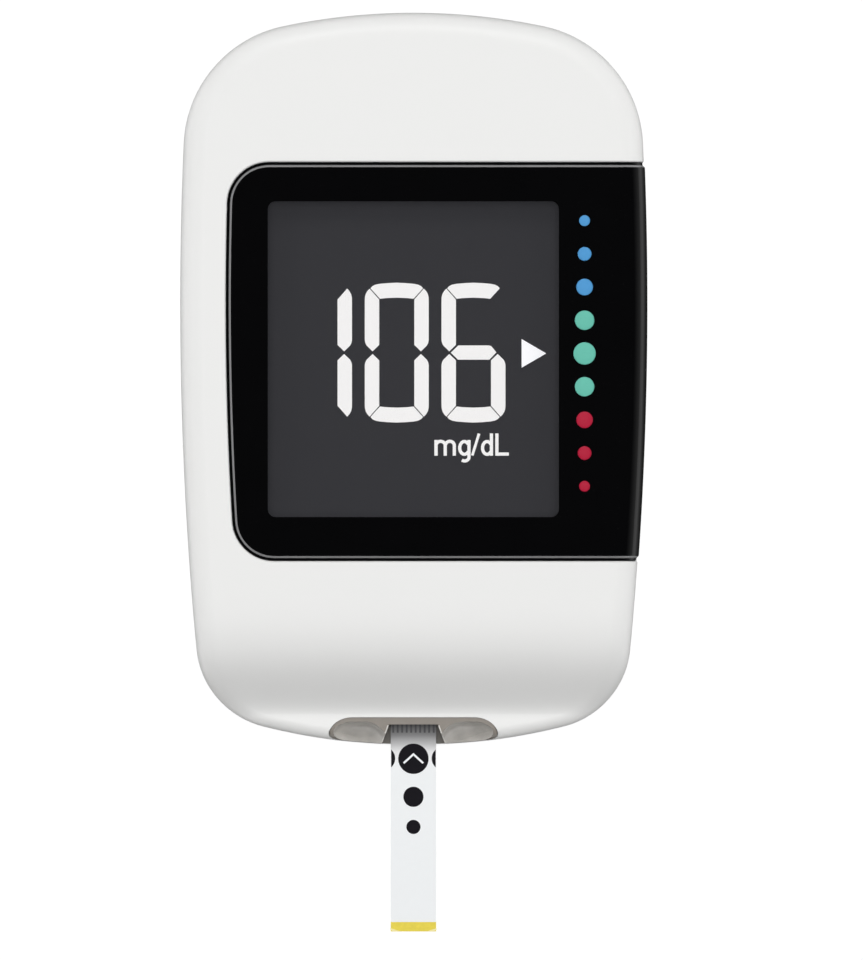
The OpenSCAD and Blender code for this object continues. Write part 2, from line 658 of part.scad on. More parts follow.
// Chips on the board: middle, size and height
chips = [[-4, 20, 9, 9, 1.2], [6.5, 14, 7, 5, 1], [-6, -6, 6, 6, 1], [6, -7, 5, 4, 1.1],
    [high_posts.x - post_r - 3.4, high_posts.y - 1.5, 6, 8, 1.4]];
module board_chips() {
    color([0.12, 0.12, 0.13]) for (c = chips)
        block([c[0] - c[2] / 2, c[1] - c[3] / 2, board_top],
            [c[0] + c[2] / 2, c[1] + c[3] / 2, board_top + c[4]]);
}
module quartz_crystal() {
    color([0.75, 0.75, 0.77])
        translate([2.3 - pane_w / 2, pane_y + pane_l / 2 - 0.8, board_top + 1]) rotate([90, 0, 0])
            cylinder(h = 6, r = 1);
}
module usb_socket() {
    y1 = case_l / 2 - usb_inset;
    y0 = y1 - usb_l;
    x = usb_w2 - usb_sheet;
    color([0.75, 0.75, 0.77]) difference() {
        block([-usb_w2, y0, board_top], [usb_w2, y1, board_top + usb_h]);
        difference() {
            block([-x, y0 + 0.6, board_top + usb_sheet], [x, y1 + over, board_top + usb_h - usb_sheet]);
            // tongue with the socket's contacts
            block([-1.9, y0, board_top + 1.4], [1.9, y1 - 0.8, board_top + 1.9]);
        }
    }
}

module side_switches() {
    color([0.15, 0.15, 0.16]) for (y = button_ys) difference() {
        block([lcd_w / 2 + frame_w + 0.3, y - 2.4, board_top], [switch_face, y + 2.4, button_z + 1.2]);
        translate([stem_x - button_travel - stem_gap, y, button_z]) rotate([0, 90, 0])
            cylinder(h = 3, r = stem_r + 0.1);
    }
}
module switch_stem(y) {
    color([0.9, 0.9, 0.88]) translate([stem_x, y, button_z]) rotate([0, 90, 0])
        cylinder(h = flange_x(y) - flange_t - stem_x, r = stem_r);
}
module side_button(y) {
    color([0.04, 0.04, 0.04]) union() {
        intersection() {
            button_prism(y, 0, flange_x(y) - flange_t / 2, side_x(y) + over);
            translate([side_c.x, side_c.y, 0])
                cylinder(h = front_z, r = side_r + window_proud, $fn = 1200);
        }
        block([flange_x(y) - flange_t, y - button_l / 2 - flange_rim,
                button_z - button_h / 2 - flange_rim],
            [flange_x(y), y + button_l / 2 + flange_rim, button_z + button_h / 2 + flange_rim]);
    }
}
module back_button() { side_button(button_ys[1]); }
module back_switch_stem() { switch_stem(button_ys[1]); }
module forward_button() { side_button(button_ys[0]); }
module forward_switch_stem() { switch_stem(button_ys[0]); }

ridge_n = 5;
ridge_pitch = 1.25;
module ejector_slider() {
    x = -side_x(thumb_y) + thumb_pocket - tiny;
    color([0.8, 0.8, 0.79]) union() {
        block([x - 0.55, thumb_y - thumb_l / 2, thumb_z - thumb_h / 2],
            [x, thumb_y + thumb_l / 2, thumb_z + thumb_h / 2]);
        for (i = [0:ridge_n - 1]) translate([x - 0.55, thumb_y + (i - (ridge_n - 1) / 2) * ridge_pitch,
                thumb_z - thumb_h / 2 + 0.4])
            cylinder(h = thumb_h - 0.8, r = 0.3, $fn = 24);
        block([x - 0.1, thumb_y - thumb_stem.x / 2, thumb_z - thumb_stem.y / 2],
            [rail_x[0], thumb_y + thumb_stem.x / 2, thumb_z + thumb_stem.y / 2]);
    }
}
module ejector_sled() {
    color([0.85, 0.85, 0.84]) union() {
        // rail with the upright that the thumb piece is pressed onto
        block([rail_x[0], bar_y, strip_z], [rail_x[1], thumb_y + 2, bar_top]);
        block([rail_x[0], thumb_y - 2, bar_top - tiny], [rail_x[1], thumb_y + 2, thumb_z + 0.9]);
        block([rail_x[0], bar_y, strip_z], [2.2, bar_y + bar_l, bar_top]);
        block([-1.7, strip_y0 + 0.02, strip_z + tiny], [1.7, bar_y + bar_l / 2, strip_top - tiny]);
    }
}

contact_xs = [for (i = [-2:2]) 0.9 * i];
contact_w = 0.5;
module strip_connector() {
    color([0.14, 0.14, 0.15]) difference() {
        block([-block_w2, guide_y, strip_z - block_drop], [block_w2, block_y, strip_top + block_rise]);
        block([-strip_w / 2 - 0.12, guide_y - over, strip_z - 0.07],
            [strip_w / 2 + 0.12, block_y + over, strip_top + 0.07]);
        for (x = contact_xs) block([x - contact_w / 2 - 0.1, guide_y + 1.6, strip_z - 0.9],
            [x + contact_w / 2 + 0.1, block_y + over, strip_z]);
    }
}
module connector_contacts() {
    t = 0.12;
    foot = board_top;
    tip = strip_z - tiny;
    dip = foot - 0.62;
    y2 = guide_y + 4;
    // one spring finger from the side: solder foot, dip through the block, and the tip at the strip
    leaf = [[block_y + 1.6, foot], [block_y - 0.2, foot], [block_y - 1.2, dip],
        [guide_y + 2.2, dip], [guide_y + 2.2, dip + t], [guide_y + 2.6, dip + t],
        [y2 - 0.6, tip - t], [y2 - 0.4, tip], [y2 + 0.4, tip], [y2 + 0.6, tip - t],
        [y2 + 0.3, tip - t], [y2 - 0.3, tip - t], [guide_y + 3.2, dip + t],
        [block_y - 1.3, dip + t], [block_y - 0.3, foot + t], [block_y + 1.6, foot + t]];
    color([0.85, 0.68, 0.3]) for (x = contact_xs) translate([x - contact_w / 2, 0, 0])
        rotate([90, 0, 90]) linear_extrude(contact_w) polygon(leaf);
}

module coin_cell(s) {
    r = cell_d / 2;
    bevel = 0.3;
    can_h = cell_t - 0.4;
    cap_r = r - 1.2;
    color([0.78, 0.78, 0.8]) translate([0, door_y + s * (r + 0.4), cell_z]) rotate_extrude()
        polygon([[0, 0], [r - bevel, 0], [r, bevel], [r, can_h - 0.5], [r - 0.5, can_h],
            [cap_r, can_h], [cap_r, cell_t], [0, cell_t]]);
}
module coin_cell_upper() { coin_cell(1); }
module coin_cell_lower() { coin_cell(-1); }
module battery_plus_contacts() {
    x1 = room_w / 2 - 0.15;
    color([0.8, 0.78, 0.72]) for (s = [-1, 1]) translate([0, door_y + s * cell_d / 2, 0])
        block([x1 - 0.35, -leg_w2, cell_z + 0.5], [x1, leg_w2, board_z]);
}
module battery_minus_contacts() {
    color([0.8, 0.78, 0.72]) for (s = [-1, 1]) translate([0, door_y + s * minus_y, 0]) union() {
        block([-minus_w2.x, -minus_w2.y, ceiling_z - 0.3], [minus_w2.x, minus_w2.y, ceiling_z - tiny]);
        block([-leg_w2, -0.2, ceiling_z - 0.2], [leg_w2, 0.2, board_z]);
    }
}
module battery_door() {
    color([0.9, 0.9, 0.89]) difference() {
        union() {
            door_form(0, 0, door_t);
            // rounded hinge edge with a pin at each end
            translate([-door_w / 2, hinge_y, hinge_r]) rotate([0, 90, 0])
                cylinder(h = door_w, r = hinge_r);
            translate([-pin_end, hinge_y, hinge_r]) rotate([0, 90, 0])
                cylinder(h = 2 * pin_end, r = pin_r);
            // snap tab
            block([-tab_w2, door_low + 0.1, door_t / 2], [tab_w2, door_low + 0.65, tab_h]);
            block([-tab_w2, door_low - 0.1, 2.6], [tab_w2, door_low + 0.3, 3.2]);
        }
        // grip ridges are left between these grooves
        for (i = [0:3])
            translate([-grip_w2, door_low + 2.4 + grip_step * i, -0.35]) rotate([0, 90, 0])
                cylinder(h = 2 * grip_w2, r = grip_r);
    }
}
module battery_pad() {
    color([0.2, 0.2, 0.21]) translate([0, door_y, 0])
        block([-0.35 * cell_d, -0.7 * cell_d, door_t], [0.35 * cell_d, 0.7 * cell_d, door_t + pad_t]);
}
module case_screws() {
    color([0.6, 0.6, 0.62]) for (s = [-1, 1]) translate([s * screw_x, door_y, 0]) difference() {
        union() {
            translate([0, 0, ceiling_z - 1.2]) cylinder(h = 1.2, r = screw_head_r);
            translate([0, 0, ceiling_z - 0.1]) cylinder(h = board_top + 1.7 - ceiling_z, r = screw_r);
        }
        for (a = [0, 90]) rotate(a) translate([0, 0, ceiling_z - 1.2])
            cube([1.9, 0.4, 1.1], center = true);
    }
}

layer_base = strip_t * 0.4;
layer_metal = 0.02;
layer_spacer = strip_t * 0.25;
dose_l = 1;
contact_end = 2.4;
module strip_layer(y0, y1, z0, z1) {
    block([-strip_w / 2, y1, z0], [strip_w / 2, y0, z1]);
}
module strip_base() {
    color([0.95, 0.96, 0.97]) strip_layer(strip_y0, strip_y1 + dose_l, strip_z + layer_metal,
        strip_z + layer_metal + layer_base);
}
module strip_electrodes() {
    color([0.85, 0.68, 0.3]) for (x = contact_xs)
        block([x - 0.3, strip_y0 - 9, strip_z], [x + 0.3, strip_y0, strip_z + layer_metal]);
}
module strip_spacer() {
    color([0.93, 0.94, 0.95]) strip_layer(strip_y0 - contact_end, strip_y1 + dose_l,
        strip_z + layer_metal + layer_base, strip_z + layer_metal + layer_base + layer_spacer);
}
module strip_cover() {
    color([0.95, 0.96, 0.97]) strip_layer(strip_y0 - contact_end, strip_y1 + dose_l,
        strip_z + layer_metal + layer_base + layer_spacer, strip_top);
}
module strip_dosing_edge() {
    color([0.9, 0.8, 0.3]) strip_layer(strip_y1 + dose_l, strip_y1, strip_z + layer_metal, strip_top);
}

front_shell();
rear_shell();
display_window();
display_lens();
window_tape();
range_dots();
strip_port();
display_gasket();
front_polariser();
lcd_panel();
light_guide();
lcd_frame();
zebra_connector();
main_board();
board_chips();
quartz_crystal();
usb_socket();
side_switches();
back_button();
back_switch_stem();
forward_button();
forward_switch_stem();
ejector_slider();
ejector_sled();
strip_connector();
connector_contacts();
coin_cell_upper();
coin_cell_lower();
battery_plus_contacts();
battery_minus_contacts();
battery_door();
battery_pad();
case_screws();
strip_base();
strip_electrodes();
strip_spacer();
strip_cover();
strip_dosing_edge();
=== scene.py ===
"""Looks of a blood glucose meter round its CAD frame. Lengths in the code are in millimetres."""

import math

import bmesh
import bpy
import numpy as np
from mathutils import Matrix, Vector
from mathutils.bvhtree import BVHTree
from mathutils.geometry import barycentric_transform


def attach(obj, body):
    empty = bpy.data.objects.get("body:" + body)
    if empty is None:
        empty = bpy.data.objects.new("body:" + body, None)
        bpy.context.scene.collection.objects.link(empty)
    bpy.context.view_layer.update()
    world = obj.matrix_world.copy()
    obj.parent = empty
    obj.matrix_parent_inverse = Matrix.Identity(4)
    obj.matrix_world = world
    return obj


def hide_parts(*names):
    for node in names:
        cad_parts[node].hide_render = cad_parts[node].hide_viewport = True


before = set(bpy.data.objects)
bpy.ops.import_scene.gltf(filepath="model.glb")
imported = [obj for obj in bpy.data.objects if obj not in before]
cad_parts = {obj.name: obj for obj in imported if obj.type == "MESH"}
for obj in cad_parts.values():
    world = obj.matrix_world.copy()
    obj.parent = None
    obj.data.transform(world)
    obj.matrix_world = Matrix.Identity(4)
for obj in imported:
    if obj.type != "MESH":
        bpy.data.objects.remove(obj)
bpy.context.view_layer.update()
MM = 0.001
QUARTER = math.pi / 2

# ---- sizes, as in the part's source
case_l, case_w = 77.2, 49.1
front_z, lip_z, seam_z = 15, 9.4, 6
wall, edge_r, lip_edge_r, back_in = 1.5, 2.4, 1.3, 3.4
side_r, side_y = 390, 8
top_r, top_corner_r = 67, 13.2
bottom_r, bottom_corner_r = 65, 9.2
window_top, window_bottom, window_margin, window_corner_r = 22.8, -19.1, 4.85, 4.4
window_t, proud, band_z = 1, 0.1, 6.9
window_z, face_z = front_z + proud - window_t, front_z + proud
chin_top, chin_end = window_bottom - 0.4, 3 - case_l / 2
pane_w, pane_l, pane_y, pane_r, flange_w = 30.6, 33.2, 2.1, 0.85, 1.2
shelf_z, shelf_t, shelf_reach = 12.7, 1.35, 1.5
film_top = 12.65
dot_x, dot_y, dot_pitch = 18, pane_y + 0.6, 3.49
dot_d, dot_step, dot_depth = 2.35, 0.3, 0.3
button_l, button_h, button_z, button_ys = 13, 3.6, 9.5, (9.85, -6.15)
flange_t = flange_rim = 0.6
thumb_l, thumb_h, thumb_y, thumb_z = 8, 3.4, -4.5, 9.3
thumb_stem_l, thumb_stem_h, thumb_pocket, eject_travel = 3, 1.4, 0.85, 7
rail_x = 3.85 - case_w / 2
strip_w, strip_z, strip_top, strip_end = 4.8, 7.2, 7.75, -58.3
port_w2, port_h2, port_rise, port_end = 8.9, 2.25, 1.05, 2.5
port_tilt, port_depth, port_rim = 40, 3.6, 0.45
port_c = (0, 1.35 - case_l / 2, strip_z + 0.55)
guide_y, roof_y, block_y = 3.2 - case_l / 2, 2.2 - case_l / 2, 11.7 - case_l / 2
dish_r, dish_xs, dish_z = 2.6, (5.2, port_w2 - 2.35), strip_z + 2.39
dish_y = -0.07 - case_l / 2  # 0.3 further in than in the source, so that the dishes reach higher
cell_d, ceiling_z, ceiling_t = 20, 5.15, 0.7
board_z, board_top = 6.25, 7.05
room_w, room_l, room_wall = 21.2, 42.6, 1.2
door_t, door_l, door_y, door_w, door_corner_r = 1.3, 46, 4, 23.2, 2.5
hinge_r, pin_r, pin_end = 0.85, 0.5, 12.6
hinge_y, door_low = door_y + door_l / 2 - hinge_r, door_y - door_l / 2
tab_w2, tab_h = 3, 3.4
grip_w2, grip_r, grip_step = 5, 0.6, 1.3
notch_r, notch_z = 3, -2.1
minus_y, slot_w2 = 9, 1.6
screw_x, screw_r = 8.6, 0.8
post_r = 1.6
high_post = (case_w / 2 - 7.95, case_l / 2 - 10)
low_post = (case_w / 2 - 8.95, 14.5 - case_l / 2)
slide_gap, tiny, over = 0.15, 0.05, 1


# ---- the case's outline
def polar(centre, r, turn):
    return (centre[0] + r * math.cos(turn), centre[1] + r * math.sin(turn))


def meet(c1, r1, c2, r2, side):
    """The point at r1 from c1 and r2 from c2, to the left (side 1) or right (-1) of the line between."""
    c1, c2 = np.array(c1, float), np.array(c2, float)
    gap = np.linalg.norm(c2 - c1)
    along = (c2 - c1) / gap
    a = (r1 * r1 - r2 * r2 + gap * gap) / (2 * gap)
    return c1 + a * along + side * math.sqrt(r1 * r1 - a * a) * np.array([-along[1], along[0]])


def heading(start, end):
    return math.atan2(end[1] - start[1], end[0] - start[0])


def sweep(centre, r, start, end, n):
    """Centre, radius and heading of each point of an arc in n steps."""
    return [(centre, r, start + (end - start) * i / n) for i in range(n + 1)]


side_c = (case_w / 2 - side_r, side_y)
top_c, bottom_c = (0, case_l / 2 - top_r), (0, bottom_r - case_l / 2)
top_corner_c = meet(side_c, side_r - top_corner_r, top_c, top_r - top_corner_r, 1)
bottom_corner_c = meet(side_c, side_r - bottom_corner_r, bottom_c, bottom_r - bottom_corner_r, -1)
bottom_turn, low_side_turn = heading(bottom_c, bottom_corner_c), heading(side_c, bottom_corner_c)
high_side_turn, top_turn = heading(side_c, top_corner_c), heading(top_c, top_corner_c)
# Centre, radius, first and last heading and number of steps of each arc of the right half
ARCS = [
    (bottom_c, bottom_r, -QUARTER, bottom_turn, 14),
    (bottom_corner_c, bottom_corner_r, bottom_turn, low_side_turn, 26),
    (side_c, side_r, low_side_turn, high_side_turn, 80),
    (top_corner_c, top_corner_r, high_side_turn, top_turn, 30),
    (top_c, top_r, top_turn, QUARTER, 16),
]
HALF = [point for arc in ARCS for point in sweep(*arc)[:-1]] + [(top_c, top_r, QUARTER)]


def outline(inset):
    """The case's outline moved inwards, anticlockwise from the middle of the strip end."""
    right = [polar(c, r - inset, turn) for c, r, turn in HALF]
    right[0], right[-1] = (0, right[0][1]), (0, right[-1][1])
    return right + [(-x, y) for x, y in reversed(right[1:-1])]


def side_x(y, grow=0):
    """How far the case's side, moved out by grow, lies from its middle."""
    return side_c[0] + math.sqrt((side_r + grow) ** 2 - (y - side_y) ** 2)


def ease(t):
    t = min(max(t, 0), 1)
    return t * t * (3 - 2 * t)


def front(y):
    """Height of the front face, which runs down over the chin to the lip."""
    return front_z - (front_z - lip_z) * ease(max(0, (chin_top - y) / (chin_top - chin_end)) ** 2.5)


# ---- meshes
TAG = {name: bpy.data.materials.new("tag_" + name) for name in ("skin", "cut", "edge")}
WELD = 0.0005


def mesh(name, points, faces, tag="skin"):
    """A mesh object. Its tag says which of a piece's materials its faces get, also after a cut."""
    me = bpy.data.meshes.new(name)
    me.from_pydata([tuple(c * MM for c in p) for p in points], [], faces)
    me.materials.append(TAG[tag])
    me.validate()
    me.update()
    piece = bpy.data.objects.new(name, me)
    bpy.context.scene.collection.objects.link(piece)
    return piece


def ring_faces(n, rings):
    """The quads between each of so many rings of n points and the next."""
    return [(k * n + i, k * n + (i + 1) % n, (k + 1) * n + (i + 1) % n, (k + 1) * n + i)
            for k in range(rings - 1) for i in range(n)]


def loft(name, rings, tag="skin", floor=True, lid=True):
    """A solid through rings of the outline; its lids are strips from the right side to the left."""
    n, last_ring = len(rings[0]), (len(rings) - 1) * len(rings[0])

    def strip(k, base):
        quad = [base + k, base + k + 1, base + (n - k - 1) % n, base + (n - k) % n]
        return [v for i, v in enumerate(quad) if v not in quad[:i]]

    faces = ring_faces(n, len(rings))
    faces += [strip(k, last_ring) for k in range(n // 2)] if lid else []
    faces += [strip(k, 0)[::-1] for k in range(n // 2)] if floor else []
    return mesh(name, [p for ring in rings for p in ring], faces, tag)


def stack(name, rings, tag="skin", matrix=None):
    """A solid through rings of equally many points, closed by flat lids."""
    n, last_ring = len(rings[0]), (len(rings) - 1) * len(rings[0])
    lids = [tuple(range(n))[::-1], tuple(range(last_ring, last_ring + n))]
    points = [matrix @ Vector(p) if matrix else p for ring in rings for p in ring]
    return mesh(name, points, ring_faces(n, len(rings)) + lids, tag)


def level(shape, z):
    return [(x, y, z) for x, y in shape]


def arc_steps(n):
    return [QUARTER * i / n for i in range(n + 1)]


def front_rings(grow, n=14):
    """The rings of the front half's rounded edge, which is tighter across the strip end."""
    rings = []
    for a in arc_steps(n):
        half = []
        for k, (c, arc_r, turn) in enumerate(HALF):
            r = max(lip_edge_r + (edge_r - lip_edge_r) * ease((k - ARCS[0][4]) / ARCS[1][4]) + grow, 0.1)
            x, y = polar(c, arc_r - r * (1 - math.cos(a)) + grow, turn)
            half.append((0 if k in (0, len(HALF) - 1) else x, y, front(y) + grow - r * (1 - math.sin(a))))
        rings.append(half + [(-x, y, z) for x, y, z in reversed(half[1:-1])])
    return rings


def front_form(name, grow, low_z, n=14, tag="cut"):
    return loft(name, [level(outline(-grow), low_z)] + front_rings(grow, n), tag)


def back_rings(grow, floor_z, n=14):
    """The rings of the rear half, a quarter ellipse from the flat back up to the seam."""
    rise = seam_z - floor_z
    return [level(outline(back_in * (1 - math.sin(a)) - grow), floor_z + rise * (1 - math.cos(a)))
            for a in arc_steps(n)]


def offset(shape, grow):
    """A convex outline moved outwards."""
    points = np.array(shape, float)
    run = np.roll(points, -1, 0) - points
    out = np.stack([run[:, 1], -run[:, 0]], 1) / np.linalg.norm(run, axis=1)[:, None]
    corner = out + np.roll(out, 1, 0)
    corner /= (corner * out).sum(1)[:, None]
    return [tuple(q) for q in points + grow * corner]


def chamfered(name, shape, levels, tag="skin", matrix=None):
    """A plate over a convex outline; levels are (grow, z) from the bottom up."""
    return stack(name, [level(offset(shape, grow), z) for grow, z in levels], tag, matrix)


def prism(name, shape, z0, z1, matrix=None, tag="cut"):
    """A straight solid over an outline."""
    return stack(name, [level(shape, z0), level(shape, z1)], tag, matrix)


def box(name, low, high, tag="cut"):
    (x0, y0, z0), (x1, y1, z1) = low, high
    return prism(name, [(x0, y0), (x1, y0), (x1, y1), (x0, y1)], z0, z1, tag=tag)


def rounded(w, l, r, y=0, n=10):
    """A rectangle with rounded corners, whose middle lies at y."""
    corners = enumerate([(1, 1), (-1, 1), (-1, -1), (1, -1)])
    return [polar((sx * (w / 2 - r), y + sy * (l / 2 - r)), r, q * QUARTER + a)
            for q, (sx, sy) in corners for a in arc_steps(n)]


def stadium(l, h, n=16):
    half = [polar(((l - h) / 2, 0), h / 2, a) for a in np.linspace(-QUARTER, QUARTER, n)]
    return half + [polar(((h - l) / 2, 0), h / 2, a) for a in np.linspace(QUARTER, 3 * QUARTER, n)]


def circle(r, n=48, centre=(0, 0)):
    return [polar(centre, r, 2 * math.pi * i / n) for i in range(n)]


def along_x(x, y, z):
    """Turns a prism so that its outline lies in the YZ plane and its length runs along +X."""
    return Matrix.Translation((x, y, z)) @ Matrix(((0, 0, 1, 0), (1, 0, 0, 0), (0, 1, 0, 0), (0, 0, 0, 1)))


def rod_x(name, r, x0, x1, y, z, tag="cut"):
    return prism(name, circle(r, 40), 0, x1 - x0, along_x(x0, y, z), tag)


def ball(name, centre, r, stretch=0, tag="cut", around=32, upward=16):
    """A sphere whose two halves are moved apart along X by stretch."""
    turns = [2 * math.pi * (i + 0.5) / around for i in range(around)]
    rings = []
    for k in range(1, upward):
        a = math.pi * k / upward - QUARTER
        ring = [polar((0, centre[1]), r * math.cos(a), turn) for turn in turns]
        ring = [(centre[0] + x + math.copysign(stretch / 2, x), y) for x, y in ring]
        rings.append(level(ring, centre[2] + r * math.sin(a)))
    return stack(name, rings, tag)


def combine(target, kind, others):
    for other in others:
        step = target.modifiers.new("step", "BOOLEAN")
        step.operation, step.solver, step.object, step.material_mode = kind, "EXACT", other, "TRANSFER"
    made = bpy.data.meshes.new_from_object(target.evaluated_get(bpy.context.evaluated_depsgraph_get()))
    target.modifiers.clear()
    target.data = made
    for other in others:
        bpy.data.objects.remove(other)
    return target


def cut(target, *others):
    return combine(target, "DIFFERENCE", others)


def add(target, *others):
    return combine(target, "UNION", others)


def cross(target, *others):
    return combine(target, "INTERSECT", others)


def weld(me):
    """Joins the vertices that a cut left almost on top of each other, so that no sliver stays."""
    bm = bmesh.new()
    bm.from_mesh(me)
    bmesh.ops.remove_doubles(bm, verts=bm.verts, dist=WELD * MM)
    bmesh.ops.dissolve_degenerate(bm, edges=bm.edges, dist=WELD * MM)
    bm.to_mesh(me)
    bm.free()
    me.update()


def take_normals(me, source, reach):
    """Gives skin faces within reach the smooth normals of source, the form before it was cut."""
    form = source.data
    form.calc_loop_triangles()
    triangles = [tuple(t.vertices) for t in form.loop_triangles]
    points = [v.co for v in form.vertices]
    tree = BVHTree.FromPolygons(points, triangles, all_triangles=True)
    normals = [Vector((0, 0, 0)) for _ in points]
    for a, b, c in triangles:
        area = (points[b] - points[a]).cross(points[c] - points[a])
        for i in (a, b, c):
            normals[i] += area
    normals = [normal.normalized() for normal in normals]
    custom = [(0, 0, 0)] * len(me.loops)
    skin = [material and material.name == "tag_skin" for material in me.materials]
    for face in me.polygons:
        if not skin[face.material_index] or (reach and not reach(face.center / MM)):
            continue
        for k in face.loop_indices:
            place, _, found, _ = tree.find_nearest(me.vertices[me.loops[k].vertex_index].co)
            a, b, c = triangles[found]
            triangle, ends = (points[a], points[b], points[c]), (normals[a], normals[b], normals[c])
            normal = barycentric_transform(place, *triangle, *ends)
            # A normal that leans too far stays as it was
            if normal.length > 0.1 and normal.normalized().dot(face.normal) > 0.85:
                custom[k] = tuple(normal.normalized())
    me.normals_split_custom_set(custom)
    bpy.data.objects.remove(source)


def smooth(piece, angle=28, source=None, reach=None):
    """Shades a piece smooth up to an angle. Skin faces take their normals from source, an uncut form."""
    me = piece.data
    weld(me)
    sides = {}
    for face in me.polygons:
        face.use_smooth = True
        for key in face.edge_keys:
            sides.setdefault(key, []).append(face.normal.copy())
    limit = math.cos(math.radians(angle))
    sharp = []
    for edge in me.edges:
        normals = sides.get(edge.key, [])
        sharp.append(len(normals) != 2 or normals[0].dot(normals[1]) < limit)
    me.edges.foreach_set("use_edge_sharp", sharp)
    if source:
        take_normals(me, source, reach)
    return piece


def join(name, parts):
    """One mesh of several, each keeping its materials and its shading."""
    with bpy.context.temp_override(active_object=parts[0], selected_editable_objects=parts):
        bpy.ops.object.join()
    parts[0].name = parts[0].data.name = name
    return parts[0]


def dress(piece, body, skin, cut_face=None, edge=None, replaces=()):
    """Gives a finished mesh its materials and body, and hides the CAD nodes that it stands for."""
    table = {"tag_skin": skin, "tag_cut": cut_face or skin, "tag_edge": edge or skin}
    materials = piece.data.materials
    for i, material in enumerate(materials):
        if material and material.name in table:
            materials[i] = table[material.name]
    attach(piece, body)
    if replaces:
        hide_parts(*replaces)
    return piece


# ---- materials
def set_inputs(tree, node, values):
    """Sets inputs of a node, each to a plain value or to another node's output."""
    for key, value in values.items():
        if isinstance(value, bpy.types.NodeSocket):
            tree.links.new(value, node.inputs[key])
        else:
            node.inputs[key].default_value = value
    return node


def add_node(tree, kind, values=None, **settings):
    node = tree.nodes.new("ShaderNode" + kind)
    for key, value in settings.items():
        setattr(node, key, value)
    return set_inputs(tree, node, values or {})


def object_place(tree):
    return add_node(tree, "TexCoord").outputs["Object"]


def noise(tree, size, detail):
    """Cloudy noise whose grains are about that size."""
    values = {"Vector": object_place(tree), "Scale": 1 / (size * MM), "Detail": detail}
    return add_node(tree, "TexNoise", values).outputs["Fac"]


def new_material(name):
    material = bpy.data.materials.new(name)
    material.use_nodes = True
    return material, material.node_tree


def paint(name, colour, rough=0.4, metal=0.0, spec=0.5, tone=0.04, grain=1.2, bump=0.0, bump_grain=0.12,
          rough_vary=0.06, alpha=1.0, coat=0.0, glow=0.0):
    """A Principled material whose colour, gloss and surface vary finely; bump is the height in mm."""
    material, tree = new_material(name)
    surface = tree.nodes["Principled BSDF"]
    cloud = noise(tree, grain, 3)
    dark, light = [c * (1 - tone) for c in colour], [min(1, c * (1 + tone)) for c in colour]
    mix = add_node(tree, "Mix", {"A": (*dark, 1), "B": (*light, 1), "Factor": cloud}, data_type="RGBA")
    span = {"Value": cloud, "To Min": max(0.02, rough - rough_vary), "To Max": rough + rough_vary}
    set_inputs(tree, surface, {
        "Base Color": mix.outputs["Result"], "Roughness": add_node(tree, "MapRange", span).outputs["Result"],
        "Metallic": metal, "Specular IOR Level": spec, "Coat Weight": coat, "Alpha": alpha,
    })
    if bump:
        height = {"Strength": 1, "Distance": bump * MM, "Height": noise(tree, bump_grain, 2)}
        set_inputs(tree, surface, {"Normal": add_node(tree, "Bump", height).outputs["Normal"]})
    if glow:
        set_inputs(tree, surface, {"Emission Color": (*colour, 1), "Emission Strength": glow})
    return material


shell_white = paint("shell_white", (0.86, 0.86, 0.85), rough=0.36, spec=0.4, tone=0.008, grain=9,
                    bump=0.0016, bump_grain=0.16)
inner_white = paint("inner_white", (0.78, 0.78, 0.76), rough=0.5, tone=0.02, bump=0.003)
ejector_grey = paint("ejector_grey", (0.55, 0.55, 0.54), rough=0.42, tone=0.03, bump=0.002)
print_grey = paint("print_grey", (0.62, 0.62, 0.63), rough=0.5, tone=0.05, grain=0.3)

gloss_black = paint("gloss_black", (0.0012, 0.0012, 0.0015), rough=0.05, spec=0.38, tone=0.2, grain=4,
                    rough_vary=0.015)
# The window's bevel: its black plastic painted light grey, a painted highlight
bevel_painted_highlight = paint("bevel_painted_highlight", (0.24, 0.24, 0.245), rough=0.3, spec=1.0, tone=0.1, grain=2)
wall_black = paint("wall_black", (0.006, 0.006, 0.007), rough=0.4, tone=0.2)
button_black = paint("button_black", (0.006, 0.006, 0.007), rough=0.3, spec=0.4, tone=0.1, bump=0.0015)
chip_black = paint("chip_black", (0.018, 0.018, 0.02), rough=0.55, tone=0.15, grain=0.3, bump=0.004)
foam_black = paint("foam_black", (0.02, 0.02, 0.02), rough=0.9, tone=0.3, grain=0.3,
                   bump=0.04, bump_grain=0.25)

LIT = {"rough": 0.6, "spec": 0.0, "tone": 0.006, "grain": 0.6}
digit_light = paint("digit_light", (0.90, 0.89, 0.87), glow=0.17, **LIT)
arrow_light = paint("arrow_light", (0.95, 0.95, 0.96), glow=0.24, **LIT)
# The LCD's dark ground glows evenly: backlight through it, turned up as painted light that fills the shade
# under the window's edge
display_dark_painted_glow = paint("display_dark_painted_glow", (0.024, 0.024, 0.0265), rough=0.5, spec=0.2, tone=0.05, grain=0.25,
                     glow=0.65)
lcd_glass = paint("lcd_glass", (0.35, 0.4, 0.4), rough=0.05, spec=0.5, tone=0.03, alpha=0.5)
guide_clear = paint("guide_clear", (0.85, 0.88, 0.88), rough=0.12, tone=0.02)
zebra_pink = paint("zebra_pink", (0.62, 0.28, 0.32), rough=0.7, tone=0.2, grain=0.2)

DOT_INK = {"rough": 0.3, "spec": 0.4, "tone": 0.03, "grain": 0.3}
dot_blue = paint("dot_blue", (0.077, 0.316, 0.642), **DOT_INK)
dot_green = paint("dot_green", (0.136, 0.52, 0.41), **DOT_INK)
dot_red = paint("dot_red", (0.443, 0.01, 0.04), **DOT_INK)

